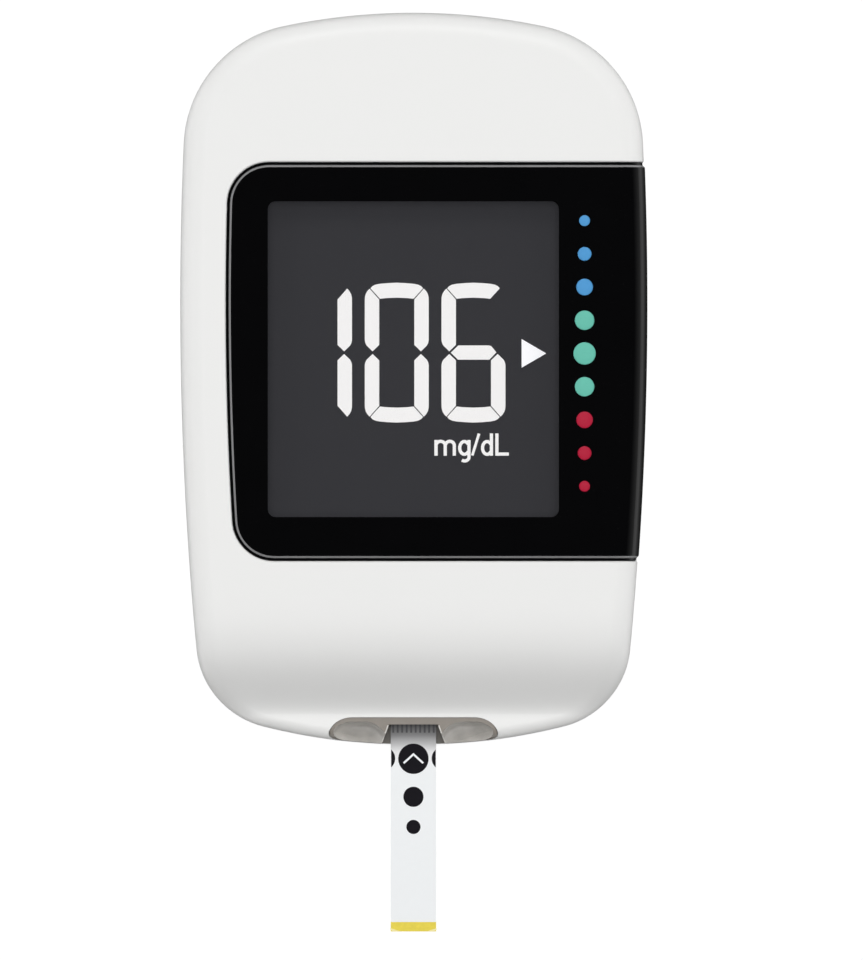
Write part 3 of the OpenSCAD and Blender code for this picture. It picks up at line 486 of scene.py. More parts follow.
port_grey = paint("port_grey", (0.275, 0.25, 0.222), rough=0.24, spec=0.6, tone=0.06, grain=1.5,
                  bump=0.002, coat=0.3)
# A lighter copy of the port's grey for the dished faces: a painted highlight
port_dish_painted_highlight = paint("port_dish_painted_highlight", (0.50, 0.48, 0.45), rough=0.2, spec=0.7, tone=0.3, grain=1.8,
                  bump=0.002, coat=0.4)
# A darker copy of the port's grey for the channel's and tunnel's walls: painted shade
port_channel_painted_shade = paint("port_channel_painted_shade", (0.17, 0.16, 0.145), rough=0.35, tone=0.08)
# A light copy of the port's plastic, for the painted highlight along the channel's edges
port_painted_highlight = paint("port_painted_highlight", (0.72, 0.70, 0.66), rough=0.15, spec=0.8, tone=0.05)

strip_white = paint("strip_white", (0.885, 0.905, 0.915), rough=0.5, tone=0.012, grain=0.5,
                    bump=0.0015, bump_grain=0.1)
strip_black = paint("strip_black", (0.006, 0.005, 0.008), rough=0.55, tone=0.2, grain=0.2, bump=0.001)
strip_grey = paint("strip_grey", (0.10, 0.10, 0.105), rough=0.6, tone=0.1, grain=0.2)
strip_yellow = paint("strip_yellow", (0.82, 0.67, 0.085), rough=0.4, tone=0.12, grain=0.4, bump=0.003)
strip_pale = paint("strip_pale", (0.93, 0.84, 0.42), rough=0.4, tone=0.08, grain=0.3)

steel = paint("steel", (0.62, 0.61, 0.59), rough=0.3, metal=1, tone=0.05, grain=0.5,
              bump=0.002, bump_grain=0.2)
nickel = paint("nickel", (0.66, 0.65, 0.63), rough=0.26, metal=1, tone=0.04, grain=1.5,
               bump=0.0015, bump_grain=0.3)
gold = paint("gold", (0.80, 0.58, 0.24), rough=0.28, metal=1, tone=0.06, grain=0.4)
board_green = paint("board_green", (0.012, 0.13, 0.05), rough=0.32, tone=0.15, grain=0.8, coat=0.3)


def clear_pane():
    """Clear hard plastic: light passes straight through, with a weak mirror on top."""
    material, tree = new_material("clear_pane")
    tree.nodes.clear()
    through = add_node(tree, "BsdfTransparent", {"Color": (0.97, 0.97, 0.975, 1)}).outputs[0]
    mirror = add_node(tree, "BsdfGlossy", {"Roughness": 0.05}).outputs[0]
    slant = add_node(tree, "LayerWeight", {"Blend": 0.12}).outputs["Fresnel"]
    weak = add_node(tree, "Math", {0: slant, 1: 0.5}, operation="MULTIPLY").outputs[0]
    mix = add_node(tree, "MixShader", {"Fac": weak, 1: through, 2: mirror})
    add_node(tree, "OutputMaterial", {"Surface": mix.outputs[0]})
    return material


# Where along the case the painted shadow of the port's roof on the strip is darkest, and where it has paled
painted_shadow_from, painted_shadow_to = -36.2, -40.4


def paint_port_shadow():
    """A painted shadow of the port's roof, grey on the strip's end next to the port and paling towards its
    dosing end.
    """
    material = paint("strip_painted_shadow", (0.5, 0.5, 0.5), rough=0.5, bump=0.0015, bump_grain=0.1)
    tree = material.node_tree
    along = add_node(tree, "SeparateXYZ", {0: object_place(tree)}).outputs["Y"]
    span = add_node(tree, "MapRange", {"Value": along, "From Min": painted_shadow_from * MM, "From Max": painted_shadow_to * MM})
    ramp = add_node(tree, "ValToRGB", {"Fac": span.outputs["Result"]})
    # Brightness of the painted shadow along the strip, darkest next to the port
    steps = ((0.02, 0.15), (0.18, 0.18), (0.33, 0.29), (0.44, 0.40), (0.54, 0.50), (0.74, 0.80), (1.0, 0.9))
    while len(ramp.color_ramp.elements) < len(steps):
        ramp.color_ramp.elements.new(0.5)
    for element, (place, value) in zip(ramp.color_ramp.elements, steps):
        element.position, element.color = place, (value, value, value * 1.01, 1)
    set_inputs(tree, tree.nodes["Principled BSDF"], {"Base Color": ramp.outputs["Color"]})
    return material


pane_clear = clear_pane()
strip_painted_shadow = paint_port_shadow()


# ---- forms of the window, the port and the holes
left_r, left_c = side_r - window_margin, (-side_c[0], side_y)


def left_corner_c(y):
    return (left_c[0] - math.sqrt((left_r - window_corner_r) ** 2 - (y - side_y) ** 2), y)


low_c, high_c = left_corner_c(window_bottom + window_corner_r), left_corner_c(window_top - window_corner_r)
low_turn, high_turn = heading(low_c, left_c) + math.pi, heading(high_c, left_c) + math.pi
CORNER_N, LEFT_N, TURN_N = 14, 24, 16
# The window, unrolled: rows run up its left edge, and columns over the rounded edge to the band's foot
EDGE = (sweep(low_c, window_corner_r, 3 * QUARTER, low_turn, CORNER_N)
        + sweep(left_c, left_r, low_turn, high_turn, LEFT_N)[1:-1]
        + sweep(high_c, window_corner_r, high_turn, QUARTER, CORNER_N))
ROWS, COLS = len(EDGE), TURN_N + 3
BORDER = ([(0, j) for j in range(COLS - 1)] + [(i, COLS - 1) for i in range(ROWS - 1)]
          + [(ROWS - 1, j) for j in range(COLS - 1, 0, -1)] + [(i, 0) for i in range(ROWS - 1, 0, -1)])


def window_point(i, j, grow, rise):
    """A point of the window's outline moved out by grow, at that height over the case."""
    c, r, turn = EDGE[i]
    left_x, y = polar(c, r + grow, turn)
    x = side_x(y)
    if j == 0:
        return (left_x, y, front_z + rise)
    if j <= TURN_N + 1:
        x, z = polar((x - edge_r, front_z - edge_r), edge_r + rise, QUARTER - (j - 1) * QUARTER / TURN_N)
        return (x, y, z)
    return (x + rise, y, band_z - grow)


def quilt(name, profile, tag="cut", bands=None, floor=True):
    """A solid between two grids; profile lists (grow, rise) of its border from the bottom to the top.

    bands gives other tags to bands of the border, counted from the bottom."""
    points = [window_point(i, j, *profile[-1]) for i in range(ROWS) for j in range(COLS)]
    faces = [(i * COLS + j, i * COLS + j + 1, (i + 1) * COLS + j + 1, (i + 1) * COLS + j)
             for i in range(ROWS - 1) for j in range(COLS - 1)]
    if not floor:
        return mesh(name, points, faces, tag)
    base, n = len(points), len(BORDER)
    points += [window_point(i, j, *profile[0]) for i in range(ROWS) for j in range(COLS)]
    faces += [tuple(base + k for k in face[::-1]) for face in faces]
    rings = [[base + i * COLS + j for i, j in BORDER]]
    for grow, rise in profile[1:-1]:
        rings.append(list(range(len(points), len(points) + n)))
        points += [window_point(i, j, grow, rise) for i, j in BORDER]
    rings.append([i * COLS + j for i, j in BORDER])
    marks = [tag] * len(faces)
    for band, (low, high) in enumerate(zip(rings, rings[1:])):
        faces += [(low[i], low[(i + 1) % n], high[(i + 1) % n], high[i]) for i in range(n)]
        marks += [(bands or {}).get(band, tag)] * n
    piece = mesh(name, points, faces, tag)
    order = [tag] + sorted(set(marks) - {tag})
    for other in order[1:]:
        piece.data.materials.append(TAG[other])
    piece.data.polygons.foreach_set("material_index", [order.index(mark) for mark in marks])
    return piece


def port_form(name, grow, start, end, tag="cut"):
    """The oval port's form along its axis: level on top, and its ends drawn up."""
    turns = arc_steps(24)[1:]
    foot, crest = port_h2 + port_rise + grow, port_h2 - port_rise + grow
    right = [((port_w2 + grow) * math.sin(a), port_rise - foot * math.cos(a)) for a in turns]
    right += [(port_w2 - port_end + (port_end + grow) * math.cos(a), port_rise + crest * math.sin(a))
              for a in turns]
    shape = [(0, -port_h2 - grow)] + right + [(-x, y) for x, y in right[::-1]]
    matrix = Matrix.Translation(port_c) @ Matrix.Rotation(math.radians(90 - port_tilt), 4, "X")
    return prism(name, shape, start, end, matrix, tag)


def key_holes(reach):
    """The two button openings, cut from inside the wall to that far out of the side."""
    shape = stadium(button_l + 2 * slide_gap, button_h + 2 * slide_gap)
    return [prism("key_hole", shape, 0, wall + over + reach, along_x(side_x(y) - wall - over, y, button_z))
            for y in button_ys]


def door_form(grow):
    """The battery door's outline, with rounded corners at its tab end."""
    low, x, r = door_low + door_corner_r, door_w / 2 - door_corner_r, door_corner_r + grow
    return ([polar((-x, low), r, a) for a in np.linspace(2 * QUARTER, 3 * QUARTER, 10)]
            + [polar((x, low), r, a) for a in np.linspace(3 * QUARTER, 4 * QUARTER, 10)]
            + [(door_w / 2 + grow, hinge_y), (-door_w / 2 - grow, hinge_y)])


# ---- front shell
chamfer, opening_gap, port_reach, usb_z = 0.14, 0.15, 4, board_top + 1.4
# (grow, rise) of the window's seat, and of the chamfer round its mouth
SEAT = [(tiny, proud - window_t - tiny), (tiny, over)]
SEAT_EDGE = [(tiny - 0.01, -0.13), (tiny + 0.62, 0.5)]
# Distance up the case, width, height and corner radius of the socket's flared mouth, from outside in
USB_MOUTH = ((case_l / 2 + over, 10.6, 5.2, 1.8), (case_l / 2 - 0.35, 8.7, 3.3, 0.8),
             (case_l / 2 - wall - over, 8.4, 3.0, 0.6))


def thumb_pocket_solids():
    """The pocket in the left side, the flare round its edge, and the slot for the thumb piece's stem."""
    x, floor_x, slot_x = -case_w / 2 - over, -side_x(thumb_y) + thumb_pocket, -side_x(thumb_y) + wall + over
    low, high = thumb_y - eject_travel - thumb_l / 2 - slide_gap, thumb_y + thumb_l / 2 + slide_gap
    middle, shape = (low + high) / 2, rounded(high - low, thumb_h + 2 * slide_gap, 0.5)
    stem_l2, stem_h2 = thumb_stem_l / 2 + slide_gap, thumb_stem_h / 2 + slide_gap
    mouth_out = 0.5
    return (
        prism("pocket", shape, 0, floor_x - x, along_x(x, middle, thumb_z)),
        chamfered("flare", shape, [(mouth_out + chamfer, 0), (0, mouth_out + chamfer)], "cut",
                  along_x(-side_x(middle) - mouth_out, middle, thumb_z)),
        box("slot", (x, thumb_y - eject_travel - stem_l2, thumb_z - stem_h2),
            (slot_x, thumb_y + stem_l2, thumb_z + stem_h2)),
    )


front_skin = [level(outline(0), seam_z + chamfer)] + front_rings(0)
front_shell = loft("case_front", [level(outline(chamfer), seam_z)] + front_skin)
cut(front_shell, front_form("hollow", -wall, seam_z - over, 6))
shelf = box("shelf", (window_margin - case_w / 2 - shelf_reach, window_bottom - shelf_reach, shelf_z),
            (side_x(side_y) - wall / 2, window_top + shelf_reach, shelf_z + shelf_t))
cross(shelf, front_form("inside", -wall / 2, seam_z, 6))
posts = [prism("post", circle(post_r, 24, place), board_top, front_z - wall / 2)
         for place in (high_post, (-high_post[0], high_post[1]), low_post)]
add(front_shell, shelf, *posts)
opening_grow = 2 * (flange_w + opening_gap)
opening = rounded(pane_w + opening_grow, pane_l + opening_grow, 1, pane_y)
cut(front_shell,
    quilt("seat", SEAT),
    quilt("seat_edge", SEAT_EDGE),
    prism("opening", opening, shelf_z - over, front_z),
    port_form("port_hole", tiny, -port_depth, port_reach),
    stack("usb_mouth", [[(x, y, z) for x, z in rounded(w, h, r, usb_z)] for y, w, h, r in USB_MOUTH], "cut"),
    *key_holes(over),
    *thumb_pocket_solids())
smooth(front_shell, source=loft("skin", front_skin, floor=False), reach=lambda c: c.z > seam_z + chamfer)
dress(front_shell, "case", shell_white, replaces=["front_shell"])

# ---- rear shell
saddle_w2, saddle_in, block_drop = 3.4, 2, 1.3
boss_x, boss_w2, boss_l2, boss_h2 = pin_end - 0.1, 1.3, 1.5, 1.2
hole_chamfer, bore_end, notch_l = 0.12, pin_end + 0.2, 2.2
tab_room_w2, tab_room_out, tab_room_h = tab_w2 + 1.2, 0.25, 3.9
minus_slot_l2, plus_slot_end = 0.6, 2.2
room_low, room_high = door_y - room_l / 2, door_y + room_l / 2

back_skin = back_rings(0, 0)[:-1] + [level(outline(0.004), seam_z - chamfer)]
rear_shell = loft("case_back", back_skin + [level(outline(chamfer), seam_z)])
cut(rear_shell, loft("hollow", back_rings(-wall, door_t, 6) + [level(outline(wall), seam_z + over)], "cut"))
walls = [box("room", (-room_w / 2 - room_wall, room_low - room_wall, door_t / 2),
             (room_w / 2 + room_wall, room_high + room_wall, ceiling_z + ceiling_t))]
for x in (-boss_x, boss_x):
    walls.append(box("boss", (x - boss_w2, hinge_y - boss_l2, door_t - boss_h2),
                     (x + boss_w2, hinge_y + boss_l2, door_t + boss_h2)))
walls += [prism("post", circle(post_r, 24, (s * x, y)), door_t / 2, board_z)
          for s in (-1, 1) for x, y in (high_post, low_post)]
walls.append(box("saddle", (-saddle_w2, guide_y + saddle_in, door_t / 2),
                 (saddle_w2, block_y - saddle_in, strip_z - block_drop)))
add(rear_shell, *walls)
seat_x = door_w / 2 + slide_gap
holes = [
    prism("door_hole", door_form(slide_gap), -over, door_t + tiny),
    chamfered("door_edge", door_form(slide_gap - 0.01),
              [(over + hole_chamfer, -over), (0, hole_chamfer)], "cut"),
    box("cells", (-room_w / 2, room_low, -over), (room_w / 2, room_high, ceiling_z)),
    rod_x("hinge_seat", hinge_r + slide_gap, -seat_x, seat_x, hinge_y, hinge_r),
    box("hinge_side", (-seat_x, hinge_y - hinge_r, -over), (seat_x, hinge_y + hinge_r + slide_gap, hinge_r)),
    rod_x("pin_bore", pin_r + tiny, -bore_end, bore_end, hinge_y, hinge_r),
    box("tab_room", (-tab_room_w2, door_low - tab_room_out, door_t),
        (tab_room_w2, room_low - 0.1, tab_room_h)),
    prism("nail_notch", circle(notch_r), 0, notch_l,
          Matrix.Translation((0, door_low, notch_z)) @ Matrix.Rotation(QUARTER, 4, "X")),
    port_form("port_hole", tiny, -port_depth, port_reach),
]
for s in (-1, 1):
    hole = circle(screw_r + slide_gap, 24, (s * screw_x, door_y))
    holes.append(prism("screw_hole", hole, ceiling_z - over, seam_z + over))
for s in (-1, 1):
    y = door_y + s * minus_y
    holes.append(box("minus_slot", (-slot_w2, y - minus_slot_l2, ceiling_z - over),
                     (slot_w2, y + minus_slot_l2, seam_z + over)))
    y = door_y + s * cell_d / 2
    holes.append(box("plus_slot", (room_w / 2 - 0.7, y - slot_w2, ceiling_z - over),
                     (room_w / 2 - tiny, y + plus_slot_end, seam_z + over)))
cut(rear_shell, *holes)
smooth(rear_shell, source=loft("skin", back_skin, lid=False), reach=lambda c: c.z < seam_z - chamfer)
dress(rear_shell, "case", shell_white, replaces=["rear_shell"])

# ---- battery door
grip_y, grip_z, arrow_y, arrow_w2, arrow_depth = 2.4, -0.35, 8.6, 2.2, 0.16
# Where the snap tab and its lip begin and end along the case, and the lip's heights
tab_ys, lip_ys, lip_zs = (0.1, 0.65), (-0.1, 0.3), (2.6, 3.2)

door = chamfered("door", door_form(0), [(-chamfer, 0), (0, chamfer), (0, door_t)])
add(door,
    rod_x("knuckle", hinge_r, -door_w / 2, door_w / 2, hinge_y, hinge_r, "skin"),
    rod_x("pin", pin_r, -pin_end, pin_end, hinge_y, hinge_r, "skin"),
    box("tab", (-tab_w2, door_low + tab_ys[0], door_t / 2), (tab_w2, door_low + tab_ys[1], tab_h)),
    box("lip", (-tab_w2, door_low + lip_ys[0], lip_zs[0]), (tab_w2, door_low + lip_ys[1], lip_zs[1])))
grooves = [ball("groove", (0, door_low + grip_y + grip_step * i, grip_z), grip_r, 2 * (grip_w2 - grip_r))
           for i in range(4)]
arrow = [(-arrow_w2, door_low + arrow_y), (arrow_w2, door_low + arrow_y), (0, door_low + arrow_y + arrow_w2)]
cut(door, *grooves, prism("arrow", arrow, -over, arrow_depth))
dress(smooth(door), "door", shell_white, replaces=["battery_door"])

# ---- window, pane and dots
# (grow, rise) of the window's side: a straight wall, a narrow ledge and the bevel up to the face
RIM = [(0, proud - window_t), (0, proud - 0.34), (-0.04, proud - 0.28), (-0.29, proud - 0.25),
       (-0.43, proud - 0.07), (-0.5, proud - 0.02), (-0.62, proud)]
dot_gap, pane_gap = 0.025, 0.03
dot_places = [(dot_y + s * dot_pitch, (dot_d - dot_step * abs(s)) / 2, s) for s in range(-4, 5)]
# Bands 3 and 4 of the rim, the bevel, take the painted highlight
window = quilt("window", RIM, "skin", {0: "cut", 3: "edge", 4: "edge"})
cut(window,
    prism("pane_hole", rounded(pane_w, pane_l, pane_r, pane_y), window_z - over, front_z + over),
    *key_holes(2 * over),
    *[prism("dot_hole", circle(r + dot_gap, 64, (dot_x, y)), face_z - dot_depth - dot_gap, front_z + over)
      for y, r, _ in dot_places])
smooth(window, source=quilt("skin", RIM, "skin", floor=False))
dress(window, "case", gloss_black, wall_black, bevel_painted_highlight, ["display_window"])

pane_shape = rounded(pane_w - 2 * pane_gap, pane_l - 2 * pane_gap, pane_r - pane_gap, pane_y)
pane = chamfered("pane", pane_shape, [(0, window_z - tiny), (0, face_z - 0.08), (-0.05, face_z - 0.03)])
foot = rounded(pane_w + 2 * flange_w, pane_l + 2 * flange_w, pane_r, pane_y)
add(pane, prism("flange", foot, window_z - 0.5, window_z - tiny, tag="skin"))
dress(smooth(pane), "case", pane_clear, replaces=["display_lens"])

dots = []
for y, r, s in dot_places:
    levels = [(0, face_z - dot_depth), (0, face_z - 0.05), (-0.03, face_z - 0.015), (-0.08, face_z)]
    dot = smooth(chamfered("dot", circle(r, 64, (dot_x, y)), levels), 40)
    dot.data.materials[0] = dot_blue if s > 1 else dot_green if s > -2 else dot_red
    dots.append(dot)
dress(join("dots", dots), "case", dot_green, replaces=["range_dots"])

# ---- buttons
# (grow, drop) of a button's rounded edge, up to its face in line with the window
KEY_SIDE = [(0, 0.4), (-0.04, 0.2), (-0.13, 0.07), (-0.28, 0.01), (-0.4, 0)]
mark_w2, mark_tip, mark_foot, mark_sunk, mark_proud = 0.7, 0.75, 0.45, 0.02, 0.004

for key, middle, sign in (("forward", button_ys[0], 1), ("back", button_ys[1], -1)):
    inner = min(side_x(middle + s * (button_l / 2 + flange_rim)) for s in (-1, 1)) - wall - tiny
    shape = stadium(button_l, button_h, 22)
    rings = [[(inner - flange_t / 2, middle + u, button_z + v) for u, v in shape]]
    for grow, drop in KEY_SIDE:
        shape = stadium(button_l + 2 * grow, button_h + 2 * grow, 22)
        rings.append([(side_x(middle + u, proud) - drop, middle + u, button_z + v) for u, v in shape])
    flange_l2, flange_h2 = button_l / 2 + flange_rim, button_h / 2 + flange_rim
    flange = box("flange", (inner - flange_t, middle - flange_l2, button_z - flange_h2),
                 (inner, middle + flange_l2, button_z + flange_h2))
    piece = add(stack(key + "_key", rings), flange)
    dress(smooth(piece, 35), key + "_key", button_black, replaces=[key + "_button"])
    shape = [(sign * mark_tip, 0), (-sign * mark_foot, sign * mark_w2), (-sign * mark_foot, -sign * mark_w2)]
    place = along_x(side_x(middle, proud), middle, button_z)
    mark = prism(key + "_mark", shape, -mark_sunk, mark_proud, place)
    dress(mark, key + "_key", print_grey)

# ---- ejector
thumb_x, thumb_t, thumb_chamfer = -side_x(thumb_y) + thumb_pocket - tiny, 0.55, 0.12
ridge_r, ridge_h2, ridge_step, ridge_drop = 0.34, 1.0, 1.25, 0.44


def ridge(middle):
    """An upright rounded rib across the thumb piece."""
    rings = []
    for a in np.linspace(math.pi - 0.05, 0.05, 16):
        z = thumb_z + ridge_r * math.cos(a) + math.copysign(ridge_h2, math.cos(a))
        rings.append(level(circle(ridge_r * math.sin(a), 24, (thumb_x - ridge_drop, middle)), z))
    return stack("ridge", rings)


levels = [(-thumb_chamfer, 0), (0, thumb_chamfer), (0, thumb_t)]
thumb = chamfered("thumb", rounded(thumb_l, thumb_h, 0.6), levels, "skin",
                  along_x(thumb_x - thumb_t, thumb_y, thumb_z))
stem = box("stem", (thumb_x - thumb_t / 2, thumb_y - thumb_stem_l / 2, thumb_z - thumb_stem_h / 2),
           (rail_x, thumb_y + thumb_stem_l / 2, thumb_z + thumb_stem_h / 2), "skin")
add(thumb, *[ridge(thumb_y + (i - 2) * ridge_step) for i in range(5)], stem)
dress(smooth(thumb, 35), "ejector", ejector_grey, replaces=["ejector_slider"])

# ---- strip port
flare_y, flare_w, flare_out = -case_l / 2 - 0.3, 0.2, 0.9
dish_shift, port_face_z, port_low, port_inset, strip_gap = 0.22, 7, 3, 0.1, 0.1
# Radius, outward shift and span along the flare of the light rods that paint a highlight on the channel's
# edges
arris_r, arris_out, arris_from, arris_to = 0.075, 0.04, 0.04, 0.97


def dish(side):
    """The form of one dished face: a ball rolled sideways, kept inside the oval's rim."""
    middle, roll = side * sum(dish_xs) / 2, dish_xs[1] - dish_xs[0]
    rim = port_form("dish_form", -port_rim, -port_depth, port_reach + over, "edge")
    rim.location.y = dish_shift * MM
    return cross(ball("dish", (middle, dish_y, dish_z), dish_r, roll, "edge", 96, 64), rim)


port = port_form("port", -tiny, -port_depth, port_reach)
cross(port,
      front_form("inside", -port_inset, port_low - over, tag="skin"),
      box("inside", (-port_w2 - over, -case_l / 2 - over, port_low),
          (port_w2 + over, guide_y - tiny, front_z)))
strip_w2 = strip_w / 2
near, far = strip_w2 + flare_w, strip_w2 + flare_w + flare_out
cut(port, dish(-1), dish(1),
    box("tunnel", (-strip_w2 - slide_gap, -case_l / 2 - over, strip_z - strip_gap),
        (strip_w2 + slide_gap, guide_y + over, strip_top + strip_gap)),
    prism("flare", [(-far, flare_y), (far, flare_y), (near, roof_y), (-near, roof_y)],
          strip_z - strip_gap, front_z))
port_points = [v.co.copy() for v in port.data.vertices]
port_tree = BVHTree.FromPolygons(port_points, [tuple(face.vertices) for face in port.data.polygons])
port_skin = loft("skin", front_rings(-port_inset), floor=False)
smooth(port, 32, source=port_skin, reach=lambda c: c.z > port_face_z)
# Skin in the port's own grey, cut walls in its painted shade, dishes in its painted highlight
dress(port, "case", port_grey, port_channel_painted_shade, port_dish_painted_highlight, ["strip_port"])


def arris(side):
    """A painted highlight along the top edge of one of the channel's walls, as a thin light rod on it."""
    rings = []
    for u in np.linspace(arris_from, arris_to, 30):
        x, y = side * (near + flare_out * u), roof_y + (flare_y - roof_y) * u
        hit = port_tree.ray_cast(Vector((x + side * 0.03, y, front_z)) * MM, Vector((0, 0, -1)))[0]
        if hit and hit.z / MM > strip_top - strip_gap:
            middle, top = x + side * arris_out, hit.z / MM
            rings.append([(middle + dx, y, top + dz) for dx, dz in circle(arris_r, 12)])
    return smooth(stack("arris", rings), 60)


dress(join("port_highlight_rods", [arris(-1), arris(1)]), "case", port_painted_highlight)

# ---- prints on the test strip, and a film with the painted shadow of the port's roof
print_t, print_lift, shade_in = 0.006, 0.004, -34
# Place along the case and radius of the three round marks
ROUND_MARKS = ((-40.053, 1.603), (-44.072, 1.065), (-47.257, 0.749))
half_mark_x, half_mark_y, half_mark_r = 3.18, -40.021, 1.25
CHEVRON, chevron_w = [(-1.034, -40.517), (0, -39.578), (1.034, -40.517)], 0.21
bar_w2, bar_ys, bar_step, bar_n = 0.1, (-37.3, -35.2), 0.475, 10
# The right one of the dosing edge's two pale corners
PALE_CORNER = [(2.45, strip_end + 0.35), (1.5, strip_end + 0.05), (2.2, strip_end + 0.05),
               (2.45, strip_end + 0.2)]


def flat(name, shape, z, t=print_t):
    return prism(name, shape, z, z + t)


def stroke(points, width):
    """The outline of a line of even width along a path, mitred at its bends."""
    path = np.array(points, float)
    run = np.diff(path, axis=0)
    run /= np.linalg.norm(run, axis=1)[:, None]
    left = np.stack([-run[:, 1], run[:, 0]], 1)
    bend = (left[1:] + left[:-1]) / (1 + (left[1:] * left[:-1]).sum(1))[:, None]
    side = np.vstack([left[:1], bend, left[-1:]]) * width / 2
    return [tuple(q) for q in path - side] + [tuple(q) for q in (path + side)[::-1]]


marks = [flat("mark", circle(r, 48, (0, y)), strip_top + print_lift) for y, r in ROUND_MARKS]
for s in (-1, 1):
    arc = circle(half_mark_r, 96, (s * half_mark_x, half_mark_y))
    arc = sorted([(x, y) for x, y in arc if abs(x) < strip_w2], key=lambda point: -s * point[1])
    marks.append(flat("mark", arc, strip_top + print_lift))
dress(join("strip_print", marks), "test_strip", strip_black)
chevron = flat("strip_chevron", stroke(CHEVRON, chevron_w), strip_top + print_t + print_lift, print_lift)
dress(chevron, "test_strip", strip_white)
# A thin film on the strip next to the port, carrying the painted shadow of the port's roof
shade = box("strip_painted_shadow_film", (-strip_w2, painted_shadow_to, strip_top), (strip_w2, shade_in, strip_top + print_lift))
dress(shade, "test_strip", strip_painted_shadow)
bars = []
for i in range(bar_n):
    x, z = bar_step * (i - (bar_n - 1) / 2), strip_top + print_lift
    bars.append(box("bar", (x - bar_w2, bar_ys[0], z), (x + bar_w2, bar_ys[1], z + print_t)))
dress(join("strip_bars", bars), "test_strip", strip_grey)
corners = [flat("corner", [(s * x, y) for x, y in PALE_CORNER][::s], strip_top) for s in (-1, 1)]
dress(join("dose_marks", corners), "test_strip", strip_pale)

# ---- what the display shows
lit_z, lit_t = film_top + 0.001, 0.02
POINTER = [(11.4, 1.22), (13.98, 2.73), (11.4, 4.24)]
# Left edge and lit segments of each digit
DIGITS = ((-13.2, "bc"), (-5.116, "abcdef"), (2.96, "acdefg"))
DIGIT_W, DIGIT_TOP, DIGIT_MIDDLE = 6.735, 10.17, 7.36
# Outlines of the segments: u runs right from a digit's left edge, v down from its top
SEG_A_OUT = [(0.6, 0.59), (0.8, 0.36), (1.12, 0.2), (1.6, 0.11), (2.4, 0.04), (3.37, 0)]
SEG_A_IN = [(1.6, 1.69), (2.2, 1.62), (3.37, 1.57)]
SEG_F = [(0.51, 0.62), (0.27, 0.88), (0.1, 1.18), (0.01, 1.55), (0, 2.1), (0, 6.05), (0.06, 6.35),
         (0.2, 6.62), (0.82, 7.22), (1.52, 6.55), (1.52, 1.77)]
SEG_G = [(1.74, 8.1), (5.05, 8.1), (5.78, 7.33), (5.25, 6.68), (5.0, 6.6), (1.78, 6.6), (0.98, 7.36)]


def flip_u(shape):
    return [(DIGIT_W - u, v) for u, v in shape][::-1]


def flip_v(shape):
    return [(u, 2 * DIGIT_MIDDLE - v) for u, v in shape][::-1]


seg_a = (SEG_A_OUT + flip_u(SEG_A_OUT[:-1]) + (SEG_A_IN[:-1] + flip_u(SEG_A_IN))[::-1])[::-1]
seg_b = flip_u(SEG_F)
SEGMENTS = {"a": seg_a, "b": seg_b, "c": flip_v(seg_b), "d": flip_v(seg_a),
            "e": flip_v(SEG_F), "f": SEG_F, "g": SEG_G}

# The unit's letters stand on a fine grid: corner and step
LETTER_X, LETTER_Y, GRID = 1.2236, -4.7996, 1 / 165.14


def bow(x, y, w2, h2, start, end):
    """An arc of an ellipse on the letters' grid, between two headings in degrees."""
    turns = np.radians(np.linspace(start, end, 14))
    return [(x + w2 * math.cos(a), y - h2 * math.sin(a)) for a in turns]


# Path and width of each stroke
LETTERS = [
    ([(192, 262), (192, 535)], 58),
    (bow(272, 360, 80, 75, 170, 0) + [(352, 535)], 56),
    (bow(432, 360, 78, 75, 170, 0) + [(510, 535)], 56),
    (bow(685, 400, 82, 112, 35, 325), 56),
    ([(765, 262)] + bow(690, 560, 75, 66, 0, -130), 56),
    ([(940, 150), (822, 532)], 46),
    (bow(1080, 400, 80, 112, 35, 325), 56),
    ([(1155, 148), (1155, 535)], 56),
    ([(1250, 148), (1250, 507), (1458, 507)], 56),
]
lit = []
for left, lit_segments in DIGITS:
    for segment in lit_segments:
        shape = [(left + u, DIGIT_TOP - v) for u, v in SEGMENTS[segment]]
        lit.append(flat("segment", shape, lit_z, lit_t))
strokes = []
for path, width in LETTERS:
    path = [(LETTER_X + x * GRID, LETTER_Y - y * GRID) for x, y in path]
    strokes.append(flat("stroke", stroke(path, width * GRID), lit_z, lit_t))
lit.append(add(*strokes))
dress(join("display_signs", lit), "case", digit_light)
dress(flat("pointer", POINTER, lit_z, lit_t), "case", arrow_light)

# ---- finishes of the CAD's own pieces
FINISHES = (
    (foam_black, ("window_tape", "display_gasket", "battery_pad")),
    (display_dark_painted_glow, ("front_polariser",)),
    (lcd_glass, ("lcd_panel",)),
    (guide_clear, ("light_guide",)),
    (zebra_pink, ("zebra_connector",)),
    (inner_white, ("lcd_frame", "back_switch_stem", "forward_switch_stem", "ejector_sled")),
    (board_green, ("main_board",)),
    (chip_black, ("board_chips", "side_switches", "strip_connector")),
    (steel, ("quartz_crystal", "usb_socket", "case_screws")),
    (steel, ("battery_plus_contacts", "battery_minus_contacts")),
    (gold, ("connector_contacts", "strip_electrodes")),
    (nickel, ("coin_cell_upper", "coin_cell_lower")),
    (strip_white, ("strip_base", "strip_spacer", "strip_cover")),
    (strip_yellow, ("strip_dosing_edge",)),
)
for material, nodes in FINISHES:
    for node in nodes:
        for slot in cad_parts[node].material_slots:
            slot.material = material

# ---- floor
floor_w2, floor_z = 900, -0.02


